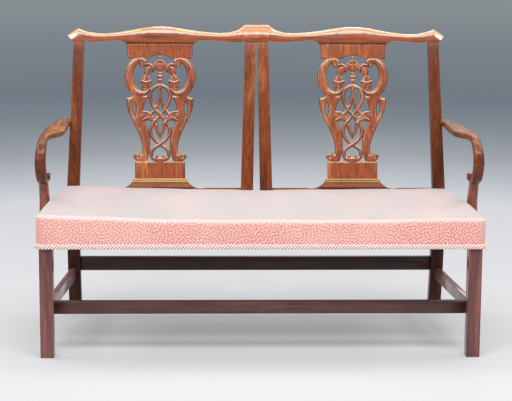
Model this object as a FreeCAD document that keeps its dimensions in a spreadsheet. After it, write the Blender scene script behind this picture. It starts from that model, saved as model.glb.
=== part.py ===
"""A two-chairback settee with pierced splats, shepherd's-crook arms and a stuffed-over seat.

+X is to the right as seen from the front, +Y is the back and +Z is up. The origin is on the floor at the
middle of the settee's plan. Pieces of the back are drawn in the back's own leaning plane, where v runs up
the back from the top of the rear rail. Pairs are modelled on the +X side and mirrored.
"""
import FreeCAD, Part
import math
import os

import Sketcher
from FreeCAD import Placement, Rotation, Vector

doc = FreeCAD.newDocument("chairback_settee")

# Driving sizes, in millimetres and degrees
SIZES = (
    ("leg_span", 1330, "outer faces of the front legs"),
    ("rear_span", 1237, "outer faces of the rear legs at the seat"),
    ("crest_span", 1192, "outer faces of the outer stiles under the crest"),
    ("seat_depth", 495, "front legs' front faces to rear legs' front faces"),
    ("front_leg", 41, "side of a front leg's square"),
    ("rear_leg_width", 40, "rear leg and stile, across, at the seat"),
    ("rear_leg_depth", 42, "rear leg, front to back, up to the seat"),
    ("foot_rake", 55, "how far the rear feet sweep back"),
    ("back_rake", 9.3, "lean of the back, in degrees"),
    ("stile_set", 12, "stile's front ahead of the back's plane at the seat"),
    ("stile_base_depth", 38, "stile, front to back, at the seat"),
    ("stile_top_width", 34, "stile, across, under the crest"),
    ("stile_gap_base", 24, "gap between the two inner stiles at the seat"),
    ("stile_gap_top", 7, "gap between the two inner stiles under the crest"),
    ("crest_thickness", 24, "crest rail and stile tops, front to back"),
    ("crest_height", 58, "crest rail at its middle block"),
    ("crest_hump", 52, "crest rail over a splat"),
    ("crest_dip", 29, "crest rail between the humps and the ears"),
    ("crest_inner_dip", 32, "crest rail between the humps and the middle block"),
    ("crest_ear", 45, "crest rail at an ear's tip"),
    ("crest_lip", 2.5, "crest rail's back edge below its top"),
    ("crest_hollow", 6, "hollows of the crest's underside, at their ends"),
    ("crest_band", 26, "rounded top of the crest, down its face, at a hump"),
    ("crest_dip_band", 10, "rounded top of the crest, down its face, at a dip"),
    ("ear_overhang", 21, "ear's corner past the stile"),
    ("ear_bevel", 20, "flat cut on an ear's front corner"),
    ("splat_height", 445, "shoe to crest"),
    ("splat_width", 214, "splat's top tablet"),
    ("splat_thickness", 11, "splat, front to back"),
    ("splat_set", 7, "splat's face behind the back's plane"),
    ("strap_width", 12, "straps of the pierced work"),
    ("shoe_height", 66, "shoe's top above the rear rail"),
    ("shoe_width", 178, "shoe's top, across"),
    ("shoe_strip_height", 36, "strip that runs from the shoe to the stiles"),
    ("shoe_set", 3, "shoe's face behind the back's plane"),
    ("shoe_sweep", 62, "length of the hollow from the shoe to the strip"),
    ("shoe_foot", 37, "bottom of the shoe's moulding above the rear rail"),
    ("shoe_moulding", 6, "how far the shoe's moulding stands out"),
    ("rail_bottom", 337, "seat rails above the floor"),
    ("rail_height", 56, "seat rails, deep"),
    ("rail_thickness", 26, "front and side seat rails"),
    ("rear_rail_thickness", 38, "rear seat rail"),
    ("rear_rail_set", 2, "rear rail's face behind the rear legs' faces"),
    ("tenon_length", 22, "tenons of rails and stretchers"),
    ("tenon_thickness", 9, "tenons of rails and stretchers"),
    ("tenon_shoulder", 8, "step above and below a tenon"),
    ("tenon_inset", 9, "rail's face to its tenon"),
    ("rear_tenon_inset", 23, "rear rail's face to its tenon"),
    ("stub_length", 12, "short tenons of stiles, splats and cross pieces"),
    ("stub_step", 6, "step round a short tenon"),
    ("joint_fit", 0.2, "clearance round every tenon"),
    ("stretcher_bottom", 122, "side and front stretchers above the floor"),
    ("stretcher_height", 38, "side and front stretchers, deep"),
    ("stretcher_thickness", 18, "side and rear stretchers"),
    ("stretcher_inset", 6, "side stretcher in from the legs' outer faces"),
    ("front_stretcher_set", 60, "front stretcher behind the legs' faces"),
    ("front_stretcher_thickness", 24, "front stretcher"),
    ("rear_stretcher_bottom", 151, "rear stretcher above the floor"),
    ("rear_stretcher_height", 45, "rear stretcher, deep"),
    ("brace_reach", 70, "corner brace along each rail"),
    ("brace_height", 36, "corner braces and cross brace, deep"),
    ("brace_rise", 12, "corner braces above the rails' bottoms"),
    ("cross_brace_width", 46, "brace between the front and rear rails"),
    ("screw_radius", 2.5, "wood screws' shanks"),
    ("screw_head_radius", 4.5, "wood screws' heads"),
    ("screw_head_depth", 3, "wood screws' heads"),
    ("screw_bite", 16, "wood screws' hold in the second piece"),
    ("arm_height", 651, "top of the arm's elbow rest"),
    ("arm_thickness", 19, "arm at the elbow rest"),
    ("elbow_width", 62, "arm at its widest"),
    ("neck_width", 26, "arm where it turns down"),
    ("crook_width", 32, "crook, across"),
    ("crook_thickness", 24, "crook, front to back"),
    ("crook_reach", 92, "front of the crook ahead of the support's middle"),
    ("crook_bow", 25, "crook's middle outside the side rail's face"),
    ("support_set", 240, "arm support's middle behind the front legs' faces"),
    ("support_top", 501, "arm's resting height on its support"),
    ("support_head_out", 21.5, "arm support's head outside the side rail's face"),
    ("support_head_set", 31, "arm support's head ahead of its foot"),
    ("support_foot", 48, "arm support's foot along the rail"),
    ("support_width", 33, "arm support, across"),
    ("support_dowel", 5, "radius of the dowel into the arm"),
    ("webbing_width", 50, "seat webbing"),
    ("webbing_thickness", 1.5, "seat webbing"),
    ("webbing_pitch", 100, "spacing of the webs that run front to back"),
    ("webbing_rows", 4, "webs that run side to side"),
    ("hessian_thickness", 0.8, "base cloth over the webbing"),
    ("calico_thickness", 1, "undercover"),
    ("cover_thickness", 2, "top cover"),
    ("layer_gap", 0.3, "clearance between soft layers"),
    ("seat_edge", 36, "seat's front edge above the rails"),
    ("seat_rear", 31, "seat's rear edge above the rails"),
    ("seat_crown", 44, "seat's middle above the rails"),
    ("seat_roll", 17, "radius of the seat's front and side edges"),
    ("seat_corner", 12, "radius of the seat's front corners in plan"),
    ("seat_side_rise", 6, "seat's sides above its middle line"),
    ("trim_height", 14, "rope trim"),
    ("trim_depth", 6, "rope trim"),
)

sheet = doc.addObject("Spreadsheet::Sheet", "sizes")
for row, (alias, value, note) in enumerate(SIZES, start=1):
    sheet.set(f"A{row}", alias)
    sheet.set(f"B{row}", str(value))
    sheet.set(f"C{row}", note)
    sheet.setAlias(f"B{row}", alias)
doc.recompute()


def number(expression):
    """The value of an expression in the sheet's sizes."""
    return float(sheet.evalExpression(str(expression)))


def size(alias):
    """The value of one named size."""
    return number(f"sizes.{alias}")


# Main places, as expressions: the plan is centred between the trim's front and the crest's back
COVER_STAND = "(sizes.cover_thickness + sizes.calico_thickness + 2 * sizes.layer_gap)"
TRIM_STAND = f"({COVER_STAND} + sizes.trim_depth)"
RAIL_TOP = "(sizes.rail_bottom + sizes.rail_height)"
CREST_BASE = "(sizes.shoe_height + sizes.splat_height)"
CREST_TOP = f"({CREST_BASE} + sizes.crest_height)"
CREST_BACK = f"({CREST_TOP} - sizes.crest_lip)"
LEAN_RUN = f"({CREST_BACK} * sin(sizes.back_rake) + sizes.crest_thickness * cos(sizes.back_rake))"
FRONT = f"(({TRIM_STAND} - sizes.seat_depth - sizes.stile_set - {LEAN_RUN}) / 2)"
REAR = f"({FRONT} + sizes.seat_depth)"
BACK_FOOT = f"({REAR} + sizes.stile_set)"
FRONT_HALF = "(sizes.leg_span / 2)"
REAR_HALF = "(sizes.rear_span / 2)"
LEG_INSIDE = f"({FRONT_HALF} - sizes.front_leg)"
REAR_LEG_INSIDE = f"({REAR_HALF} - sizes.rear_leg_width)"
REAR_RAIL_FACE = f"({REAR} + sizes.rear_rail_set)"
SPLAT_MIDDLE = f"(({REAR_HALF} + sizes.stile_gap_base / 2) / 2)"
BACK = Placement(
    Vector(0, number(BACK_FOOT), number(RAIL_TOP)), Rotation(Vector(1, 0, 0), -size("back_rake"))
)


def side_line(y, inset="0"):
    """Half width at a depth, a set distance in from the side rails' outer faces."""
    slope = f"({FRONT_HALF} - {REAR_HALF}) / (sizes.seat_depth - sizes.front_leg)"
    return f"({REAR_HALF} + {slope} * ({REAR} - ({y})) - ({inset}))"


def side_strip(y_front, y_rear, inset, thickness):
    """Plan outline of a piece that runs beside the side rail's outer face."""
    inner = f"({inset}) + ({thickness})"
    return [
        (side_line(y_front, inner), y_front),
        (side_line(y_front, inset), y_front),
        (side_line(y_rear, inset), y_rear),
        (side_line(y_rear, inner), y_rear),
    ]


def rectangle(x_low, x_high, y_low, y_high):
    """Plan outline of a rectangle between expressions."""
    return [(x_low, y_low), (x_high, y_low), (x_high, y_high), (x_low, y_high)]


def outline_sketch(body, outline, height):
    """A closed outline of straight lines, in plan, at a height in the body's own frame."""
    sketch = body.newObject("Sketcher::SketchObject", f"{body.Name}_outline")
    plane = next(item for item in body.Origin.OriginFeatures if item.Role == "XY_Plane")
    sketch.AttachmentSupport = [(plane, "")]
    sketch.MapMode = "FlatFace"
    sketch.setExpression("AttachmentOffset.Base.z", height)
    corners = [Vector(number(x), number(y), 0) for x, y in outline]
    for start, end in zip(corners, corners[1:] + corners[:1]):
        sketch.addGeometry(Part.LineSegment(start, end))
    for line in range(len(corners)):
        after = (line + 1) % len(corners)
        sketch.addConstraint(Sketcher.Constraint("Coincident", line, 2, after, 1))
    for line, (x, y) in enumerate(outline):
        for kind, place in (("DistanceX", x), ("DistanceY", y)):
            constraint = Sketcher.Constraint(kind, -1, 1, line, 1, number(place))
            sketch.setExpression(f"Constraints[{sketch.addConstraint(constraint)}]", place)
    return sketch


def new_body(name, leaning=False):
    """A body in the settee's frame or, leaning, in the frame of the back's plane."""
    body = doc.addObject("PartDesign::Body", name)
    if leaning:
        body.Placement = BACK
        body.setExpression("Placement.Base.y", BACK_FOOT)
        body.setExpression("Placement.Base.z", RAIL_TOP)
        body.setExpression("Placement.Rotation.Angle", "-sizes.back_rake")
    return body


def add_slab(body, outline, bottom, height):
    """Pads an outline up from a height."""
    pad = body.newObject("PartDesign::Pad", f"{body.Name}_slab")
    pad.Profile = outline_sketch(body, outline, bottom)
    pad.setExpression("Length", height)


def add_loft(body, sections, ruled):
    """Lofts outlines given as (outline, height) pairs."""
    sketches = [outline_sketch(body, outline, height) for outline, height in sections]
    loft = body.newObject("PartDesign::AdditiveLoft", f"{body.Name}_loft")
    loft.Profile = sketches[0]
    loft.Sections = sketches[1:]
    loft.Ruled = ruled


def slabs(name, *pieces, leaning=False):
    """One body of padded outlines, each an (outline, bottom, height)."""
    body = new_body(name, leaning)
    for piece in pieces:
        add_slab(body, *piece)
    return body


def feature(name, shape, leaning=False):
    """A free-form solid, whose shape is worked out from the sheet's sizes."""
    item = doc.addObject("Part::Feature", name)
    item.Shape = shape
    if leaning:
        item.Placement = BACK
    return item


def fused(name, *parts):
    union = doc.addObject("Part::MultiFuse", name)
    union.Shapes = list(parts)
    union.Refine = True
    return union


def cut(name, base, *tools):
    result = doc.addObject("Part::Cut", name)
    result.Base = base
    result.Tool = tools[0] if len(tools) == 1 else fused(f"{name}_tools", *tools)
    return result


def mirrored(name, source):
    copy = doc.addObject("Part::Mirroring", name)
    copy.Source = source
    copy.Normal = Vector(1, 0, 0)
    return copy


def grouped(name, parts):
    group = doc.addObject("Part::Compound", name)
    group.Links = parts
    return group


nodes = []


def node(label, item):
    """Names a finished piece."""
    item.Label = label
    nodes.append(item)
    return item


def node_pair(label, right):
    """Names a finished piece of the +X side and its mirror image."""
    node(f"{label}_right", right)
    node(f"{label}_left", mirrored(f"{right.Name}_mirrored", right))


# Joints: each tenon is drawn once, and its mortise is the same tenon grown by the fit
def tenon_height(bottom, height, grow, step="sizes.tenon_shoulder"):
    low = f"({bottom}) + {step} - ({grow})"
    return low, f"({height}) - 2 * {step} + 2 * ({grow})"


def front_rail_tenon(grow="0"):
    reach = f"({LEG_INSIDE} + sizes.tenon_length + ({grow}))"
    face = f"{FRONT} + sizes.tenon_inset - ({grow})"
    back = f"{FRONT} + sizes.tenon_inset + sizes.tenon_thickness + ({grow})"
    return (rectangle(f"-{reach}", reach, face, back),
            *tenon_height("sizes.rail_bottom", "sizes.rail_height", grow))


def rear_rail_tenon(grow="0"):
    reach = f"({REAR_LEG_INSIDE} + sizes.tenon_length + ({grow}))"
    face = f"{REAR_RAIL_FACE} + sizes.rear_tenon_inset - ({grow})"
    back = f"{REAR_RAIL_FACE} + sizes.rear_tenon_inset + sizes.tenon_thickness + ({grow})"
    return (rectangle(f"-{reach}", reach, face, back),
            *tenon_height("sizes.rail_bottom", "sizes.rail_height", grow))


def side_rail_tenon(grow="0"):
    y_front = f"({FRONT} + sizes.front_leg - sizes.tenon_length - ({grow}))"
    y_rear = f"({REAR} + sizes.tenon_length + ({grow}))"
    strip = side_strip(
        y_front, y_rear, f"sizes.tenon_inset - ({grow})", f"sizes.tenon_thickness + 2 * ({grow})"
    )
    return (strip, *tenon_height("sizes.rail_bottom", "sizes.rail_height", grow))


def rake_at(height):
    """How far a rear leg has swept back at a height below the seat."""
    return f"(sizes.foot_rake * ((sizes.rail_bottom - ({height})) / sizes.rail_bottom)^2)"


STRETCHER_MIDDLE = "(sizes.stretcher_bottom + sizes.stretcher_height / 2)"
STRETCHER_REAR = f"({REAR} + {rake_at(STRETCHER_MIDDLE)})"
REAR_STRETCHER_MIDDLE = "(sizes.rear_stretcher_bottom + sizes.rear_stretcher_height / 2)"
REAR_STRETCHER_LINE = f"({REAR} + {rake_at(REAR_STRETCHER_MIDDLE)} + sizes.rear_leg_depth / 2)"


def side_stretcher_tenon(grow="0"):
    y_front = f"({FRONT} + sizes.front_leg - sizes.tenon_length - ({grow}))"
    y_rear = f"({STRETCHER_REAR} + sizes.stub_length + ({grow}))"
    inset = f"sizes.stretcher_inset + (sizes.stretcher_thickness - sizes.tenon_thickness) / 2 - ({grow})"
    strip = side_strip(y_front, y_rear, inset, f"sizes.tenon_thickness + 2 * ({grow})")
    return (strip, *tenon_height("sizes.stretcher_bottom", "sizes.stretcher_height", grow))


def rear_stretcher_tenon(grow="0"):
    reach = f"({REAR_LEG_INSIDE} + sizes.tenon_length + ({grow}))"
    half = f"(sizes.tenon_thickness / 2 + ({grow}))"
    outline = rectangle(
        f"-{reach}", reach, f"{REAR_STRETCHER_LINE} - {half}", f"{REAR_STRETCHER_LINE} + {half}"
    )
    return (outline, *tenon_height("sizes.rear_stretcher_bottom", "sizes.rear_stretcher_height", grow))


def front_stretcher_outline(inset, extra="0"):
    """Plan of the front stretcher or its tenon, as far as the side stretchers' faces or past them."""
    face = f"{FRONT} + sizes.front_stretcher_set + ({inset})"
    back = f"{FRONT} + sizes.front_stretcher_set + sizes.front_stretcher_thickness - ({inset})"
    inner = f"sizes.stretcher_inset + sizes.stretcher_thickness - ({extra})"
    near = side_line(face, inner)
    far = side_line(back, inner)
    return [(f"-{near}", face), (near, face), (far, back), (f"-{far}", back)]


def front_stretcher_tenon(grow="0"):
    outline = front_stretcher_outline(f"sizes.stub_step - ({grow})", f"sizes.stub_length + ({grow})")
    return (outline, *tenon_height("sizes.stretcher_bottom", "sizes.stretcher_height", grow))


def cross_brace_tenon(grow="0"):
    half = f"(sizes.cross_brace_width / 2 - sizes.stub_step + ({grow}))"
    face = f"{FRONT} + sizes.rail_thickness - sizes.stub_length - ({grow})"
    back = f"{REAR_RAIL_FACE} + sizes.stub_length + ({grow})"
    outline = rectangle(f"-{half}", half, face, back)
    return (outline, *tenon_height("sizes.rail_bottom", "sizes.brace_height", grow))


def outer_stile_edges(v):
    """Inner and outer faces of an outer stile at a place up the back."""
    rise = f"({v}) / {CREST_BASE}"
    outer = f"({REAR_HALF} + (sizes.crest_span / 2 - {REAR_HALF}) * {rise})"
    width = f"(sizes.rear_leg_width + (sizes.stile_top_width - sizes.rear_leg_width) * {rise})"
    return f"({outer} - {width})", outer


def inner_stile_edges(v):
    """Inner and outer faces of an inner stile at a place up the back."""
    rise = f"({v}) / {CREST_BASE}"
    inner = f"(sizes.stile_gap_base / 2 + (sizes.stile_gap_top - sizes.stile_gap_base) / 2 * {rise})"
    width = f"(sizes.rear_leg_width + (sizes.stile_top_width - sizes.rear_leg_width) * {rise})"
    return inner, f"({inner} + {width})"


def stile_section(edges, v):
    """Outline of a stile across its length, at a place up the back."""
    rise = f"({v}) / {CREST_BASE}"
    face = f"(-sizes.stile_set * (1 - {rise}))"
    depth = f"(sizes.stile_base_depth + (sizes.crest_thickness - sizes.stile_base_depth) * {rise})"
    return rectangle(*edges(v), face, f"({face} + {depth})")


def stile_tenon(edges, v, low, high, grow="0"):
    """A stile's tenon at a place up the back, from low to high of it."""
    left, right = edges(v)
    step = f"(sizes.stub_step - ({grow}))"
    outline = rectangle(
        f"{left} + {step}", f"{right} - {step}", step, f"sizes.crest_thickness - {step}"
    )
    bottom = f"({v}) - ({low}) - ({grow})"
    return (outline, bottom, f"({low}) + ({high}) + 2 * ({grow})")


def crest_tenon(edges, grow="0"):
    return stile_tenon(edges, CREST_BASE, "sizes.stub_length", "sizes.stub_length", grow)


def inner_stile_foot_tenon(grow="0"):
    return stile_tenon(inner_stile_edges, "0", "2 * sizes.stub_length", "sizes.stub_length", grow)


# Legs, stiles, rails and stretchers
def front_leg():
    """Square leg from the floor to the seat frame's top, its corner taken off under the seat's cover."""
    leg_back = f"{FRONT} + sizes.front_leg"
    square = rectangle(LEG_INSIDE, FRONT_HALF, FRONT, leg_back)
    covered = [
        (LEG_INSIDE, FRONT),
        (f"{FRONT_HALF} - sizes.seat_corner", FRONT),
        (FRONT_HALF, f"{FRONT} + sizes.seat_corner"),
        (FRONT_HALF, leg_back),
        (LEG_INSIDE, leg_back),
    ]
    lower = (square, "0", "sizes.rail_bottom")
    post = slabs("front_leg_post", lower, (covered, "sizes.rail_bottom", "sizes.rail_height"))
    mortises = [
        slabs("front_leg_front_mortise", front_rail_tenon("sizes.joint_fit")),
        slabs("front_leg_side_mortise", side_rail_tenon("sizes.joint_fit")),
        slabs("front_leg_stretcher_mortise", side_stretcher_tenon("sizes.joint_fit")),
    ]
    return cut("front_leg_right", post, *mortises)


def rear_leg_blank():
    """Rear leg and stile in one length: swept back below the seat, upright at it and leaning above."""
    leg = new_body("rear_leg_lower")

    def section(height):
        back = rake_at(height)
        return rectangle(
            REAR_LEG_INSIDE, REAR_HALF, f"{REAR} + {back}", f"{REAR} + sizes.rear_leg_depth + {back}"
        )

    add_slab(leg, section("sizes.rail_bottom"), "sizes.rail_bottom", "sizes.rail_height")
    heights = ["sizes.rail_bottom", "sizes.rail_bottom * 0.7", "sizes.rail_bottom * 0.35", "0"]
    add_loft(leg, [(section(height), height) for height in heights], ruled=False)
    stile = new_body("rear_leg_stile", leaning=True)
    ends = ["0", CREST_BASE]
    add_loft(stile, [(stile_section(outer_stile_edges, v), v) for v in ends], ruled=True)
    return fused("rear_leg_blank", leg, stile)


def inner_stile(below_rail_top):
    """One of the two middle stiles, which stand side by side on the rear rail."""
    low = "-2 * sizes.stub_length"
    stile = new_body("inner_stile_length", leaning=True)
    sections = [(stile_section(inner_stile_edges, v), v) for v in (low, CREST_BASE)]
    add_loft(stile, sections, ruled=True)
    standing = cut("inner_stile_standing", stile, below_rail_top)
    tenons = slabs("inner_stile_tenons", crest_tenon(inner_stile_edges), leaning=True)
    foot = slabs("inner_stile_foot", inner_stile_foot_tenon(), leaning=True)
    return fused("inner_stile_right", standing, tenons, foot)


def front_seat_rail(screws):
    outline = rectangle(f"-{LEG_INSIDE}", LEG_INSIDE, FRONT, f"{FRONT} + sizes.rail_thickness")
    rail = slabs(
        "front_rail_blank", (outline, "sizes.rail_bottom", "sizes.rail_height"), front_rail_tenon()
    )
    socket = slabs("front_rail_socket", cross_brace_tenon("sizes.joint_fit"))
    return cut("front_seat_rail", rail, socket, *screws)


def rear_seat_rail(screws):
    outline = rectangle(
        f"-{REAR_LEG_INSIDE}", REAR_LEG_INSIDE,
        REAR_RAIL_FACE, f"{REAR_RAIL_FACE} + sizes.rear_rail_thickness",
    )
    rail = slabs(
        "rear_rail_blank", (outline, "sizes.rail_bottom", "sizes.rail_height"), rear_rail_tenon()
    )
    socket = slabs("rear_rail_socket", cross_brace_tenon("sizes.joint_fit"))
    stile = slabs("rear_rail_stile_socket", inner_stile_foot_tenon("sizes.joint_fit"), leaning=True)
    return cut("rear_seat_rail", rail, socket, stile, mirrored("rear_rail_other_socket", stile), *screws)


def side_rail_blank():
    strip = side_strip(f"{FRONT} + sizes.front_leg", REAR, "0", "sizes.rail_thickness")
    return slabs("side_rail_blank", (strip, "sizes.rail_bottom", "sizes.rail_height"), side_rail_tenon())


def side_stretcher(leg):
    """Tenoned into both legs, and shouldered to the rear leg's sweep."""
    reach = f"({STRETCHER_REAR} + sizes.rear_leg_depth / 2)"
    strip = side_strip(
        f"{FRONT} + sizes.front_leg", reach, "sizes.stretcher_inset", "sizes.stretcher_thickness"
    )
    bar = slabs("side_stretcher_bar", (strip, "sizes.stretcher_bottom", "sizes.stretcher_height"))
    shouldered = cut("side_stretcher_shouldered", bar, leg)
    tenons = slabs("side_stretcher_tenons", side_stretcher_tenon())
    whole = fused("side_stretcher_whole", shouldered, tenons)
    return cut(
        "side_stretcher_right", whole,
        slabs("side_stretcher_socket", front_stretcher_tenon("sizes.joint_fit")),
    )


def front_stretcher():
    bar = (front_stretcher_outline("0"), "sizes.stretcher_bottom", "sizes.stretcher_height")
    return slabs("front_stretcher", bar, front_stretcher_tenon())


def rear_stretcher():
    half = "sizes.stretcher_thickness / 2"
    outline = rectangle(
        f"-{REAR_LEG_INSIDE}", REAR_LEG_INSIDE,
        f"{REAR_STRETCHER_LINE} - {half}", f"{REAR_STRETCHER_LINE} + {half}",
    )
    bar = (outline, "sizes.rear_stretcher_bottom", "sizes.rear_stretcher_height")
    return slabs("rear_stretcher", bar, rear_stretcher_tenon())


def cross_brace():
    half = "sizes.cross_brace_width / 2"
    outline = rectangle(f"-{half}", half, f"{FRONT} + sizes.rail_thickness", REAR_RAIL_FACE)
    bar = (outline, "sizes.rail_bottom", "sizes.brace_height")
    return slabs("seat_cross_brace", bar, cross_brace_tenon())


# Corner braces and screws
BRACE_BOTTOM = "(sizes.rail_bottom + sizes.brace_rise)"


def front_brace_blank():
    inner_face = f"{FRONT} + sizes.rail_thickness"
    leg_back = f"{FRONT} + sizes.front_leg"
    reach = f"{leg_back} + sizes.brace_reach"
    outline = [
        (f"{LEG_INSIDE} - sizes.brace_reach", inner_face),
        (LEG_INSIDE, inner_face),
        (LEG_INSIDE, leg_back),
        (side_line(leg_back, "sizes.rail_thickness"), leg_back),
        (side_line(reach, "sizes.rail_thickness"), reach),
    ]
    return slabs("front_brace_blank", (outline, BRACE_BOTTOM, "sizes.brace_height"))


def rear_brace_blank():
    reach = f"{REAR} - sizes.brace_reach"
    outline = [
        (f"{REAR_LEG_INSIDE} - sizes.brace_reach", REAR_RAIL_FACE),
        (side_line(reach, "sizes.rail_thickness"), reach),
        (side_line(REAR, "sizes.rail_thickness"), REAR),
        (REAR_LEG_INSIDE, REAR),
        (REAR_LEG_INSIDE, REAR_RAIL_FACE),
    ]
    return slabs("rear_brace_blank", (outline, BRACE_BOTTOM, "sizes.brace_height"))


FASTENER_SIDES = 8


def faceted_ring(middle, direction, radius):
    """A polygon of a few sides round a level direction."""
    side = direction.cross(Vector(0, 0, 1))
    up = Vector(0, 0, 1)
    corners = []
    for step in range(FASTENER_SIDES):
        turn = 2 * math.pi * (step + 0.5) / FASTENER_SIDES
        corners.append(middle + (side * math.cos(turn) + up * math.sin(turn)) * radius)
    return Part.makePolygon(corners + corners[:1])


def faceted_bar(start, direction, length, radius):
    """A level bar of a few flat sides."""
    return Part.Face(faceted_ring(start, direction, radius)).extrude(direction * length)


def screw(name, tip, direction, length):
    """A wood screw from its tip back to its countersunk head."""
    radius = size("screw_radius")
    head_depth = size("screw_head_depth")
    seat = tip + direction * (length - head_depth)
    shank = faceted_bar(tip, direction, length - head_depth, radius)
    narrow = faceted_ring(seat, direction, radius)
    wide = faceted_ring(seat + direction * head_depth, direction, size("screw_head_radius"))
    head = Part.makeLoft([narrow, wide], True, True)
    return feature(name, shank.fuse(head).removeSplitter())


def brace_screw_places():
    """Tip, direction and length of the two screws through each brace of the +X side, one into each rail."""
    height = number(f"{BRACE_BOTTOM} + sizes.brace_height / 2")
    bite = size("screw_bite")
    quarter = size("brace_reach") / 4
    cross = number(LEG_INSIDE) - 2 * quarter
    face = number(f"{FRONT} + sizes.rail_thickness")
    deep = number(f"{FRONT} + sizes.front_leg") + 2 * quarter
    side = number(side_line(deep, "sizes.rail_thickness"))
    rear_face = number(REAR_RAIL_FACE)
    rear_cross = number(REAR_LEG_INSIDE) - 2 * quarter
    rear_deep = number(REAR) - 2 * quarter
    rear_side = number(side_line(rear_deep, "sizes.rail_thickness"))
    length = bite + quarter
    return {
        "front": (Vector(cross, face - bite, height), Vector(0, 1, 0), length),
        "front_side": (Vector(side + bite, deep, height), Vector(-1, 0, 0), length),
        "rear": (Vector(rear_cross, rear_face + bite, height), Vector(0, -1, 0), length),
        "rear_side": (Vector(rear_side + bite, rear_deep, height), Vector(-1, 0, 0), length),
    }


def driver_hole(name, tip, direction, length):
    """Hole through a brace's face, down which a screw is driven to its seat."""
    radius = size("screw_head_radius")
    hole = faceted_bar(tip + direction * length, direction, size("brace_reach"), radius)
    return feature(f"{name}_driver_hole", hole)


def support_screws():
    """Two screws from inside the side rail into the arm support."""
    depth = number(f"{FRONT} + sizes.support_set")
    face = number(side_line(depth))
    inside = face - size("rail_thickness")
    spread = size("support_foot") / 5
    height = number("sizes.rail_bottom + sizes.rail_height * 0.6")
    length = size("rail_thickness") + size("screw_bite")
    return [
        screw(name, Vector(inside + length, depth + offset, height), Vector(-1, 0, 0), length)
        for name, offset in (("support_screw_front", -spread), ("support_screw_rear", spread))
    ]


# Curves
def across(start, end, share):
    return start + (end - start) * share


def smooth(points, marks=None):
    """A smooth curve through points, spaced as they lie or by set marks along it."""
    curve = Part.BSplineCurve()
    if marks:
        curve.interpolate(Points=points, Parameters=marks)
    else:
        curve.interpolate(points)
    return curve


CHORD_SAG = 0.5


def chords(curve):
    """Points along a curve, so close that straight runs between them leave it by hardly more than the sag."""
    return curve.toShape().discretize(QuasiDeflection=CHORD_SAG)


def closed_face(edges):
    """The face inside a ring of edges."""
    return Part.Face(Part.Wire(Part.__sortEdges__(edges)))


def outlined(points):
    """The face inside a ring of points."""
    return Part.Face(Part.makePolygon(points + points[:1]))


# Arms
CORNER_STEPS = 3


def rounded_section(middle, side, up, half_width, half_depth):
    """A rectangle round a point, between two directions, with each corner turned in a few steps."""
    radius = 0.7 * min(half_width, half_depth)
    corners = []
    for quarter, (turn_side, turn_up) in enumerate(((1, 1), (-1, 1), (-1, -1), (1, -1))):
        corner = middle + side * turn_side * (half_width - radius) + up * turn_up * (half_depth - radius)
        for step in range(CORNER_STEPS + 1):
            turn = math.radians(90 * (quarter + step / CORNER_STEPS))
            corners.append(corner + (side * math.cos(turn) + up * math.sin(turn)) * radius)
    return Part.makePolygon(corners + corners[:1])


ARM_SECTIONS = 20
SUPPORT_SECTIONS = 7


def bent_bar(stations, count, across_at):
    """A bar through stations of place, half width and half thickness, lofted through close sections."""
    marks = [0.0]
    for (start, *_), (end, *_) in zip(stations, stations[1:]):
        marks.append(marks[-1] + (end - start).Length)
    path = smooth([place for place, _, _ in stations], marks)
    girth = smooth([Vector(*halves, mark) for (_, *halves), mark in zip(stations, marks)], marks)
    wires = []
    for step in range(count + 1):
        mark = marks[-1] * step / count
        side, up = across_at(path.tangent(mark)[0].normalize())
        half = girth.value(mark)
        wires.append(rounded_section(path.value(mark), side, up, half.x, half.y))
    return Part.makeLoft(wires, True, True)


def turned(along):
    """Directions across an arm: level at the elbow rest, turning to face across the settee in the crook."""
    level = Vector(-abs(along.y), math.copysign(along.x, along.x * along.y), 0)
    side = level * level.Length + Vector(-1, 0, 0) * (1 - level.Length)
    side = (side - along * side.dot(along)).normalize()
    return side, side.cross(along)


def upright(along):
    """Directions across an arm support, whose sections stay level."""
    return Vector(1, 0, 0), Vector(0, 1, 0)


def arm_places():
    """Where an arm meets its stile, the rail's face below it and the head of its support."""
    height = size("arm_height") - size("arm_thickness") / 2
    v = (height - number(RAIL_TOP)) / math.cos(math.radians(size("back_rake")))
    face = number(outer_stile_edges(v)[1])
    depth = size("crest_thickness") / 2
    stile = BACK.multVec(Vector(face, depth, v))
    support_y = number(f"{FRONT} + sizes.support_set")
    support = Vector(number(side_line(support_y)), support_y, size("support_top"))
    head = support + Vector(size("support_head_out"), -size("support_head_set"), 0)
    return stile, support, head


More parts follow.
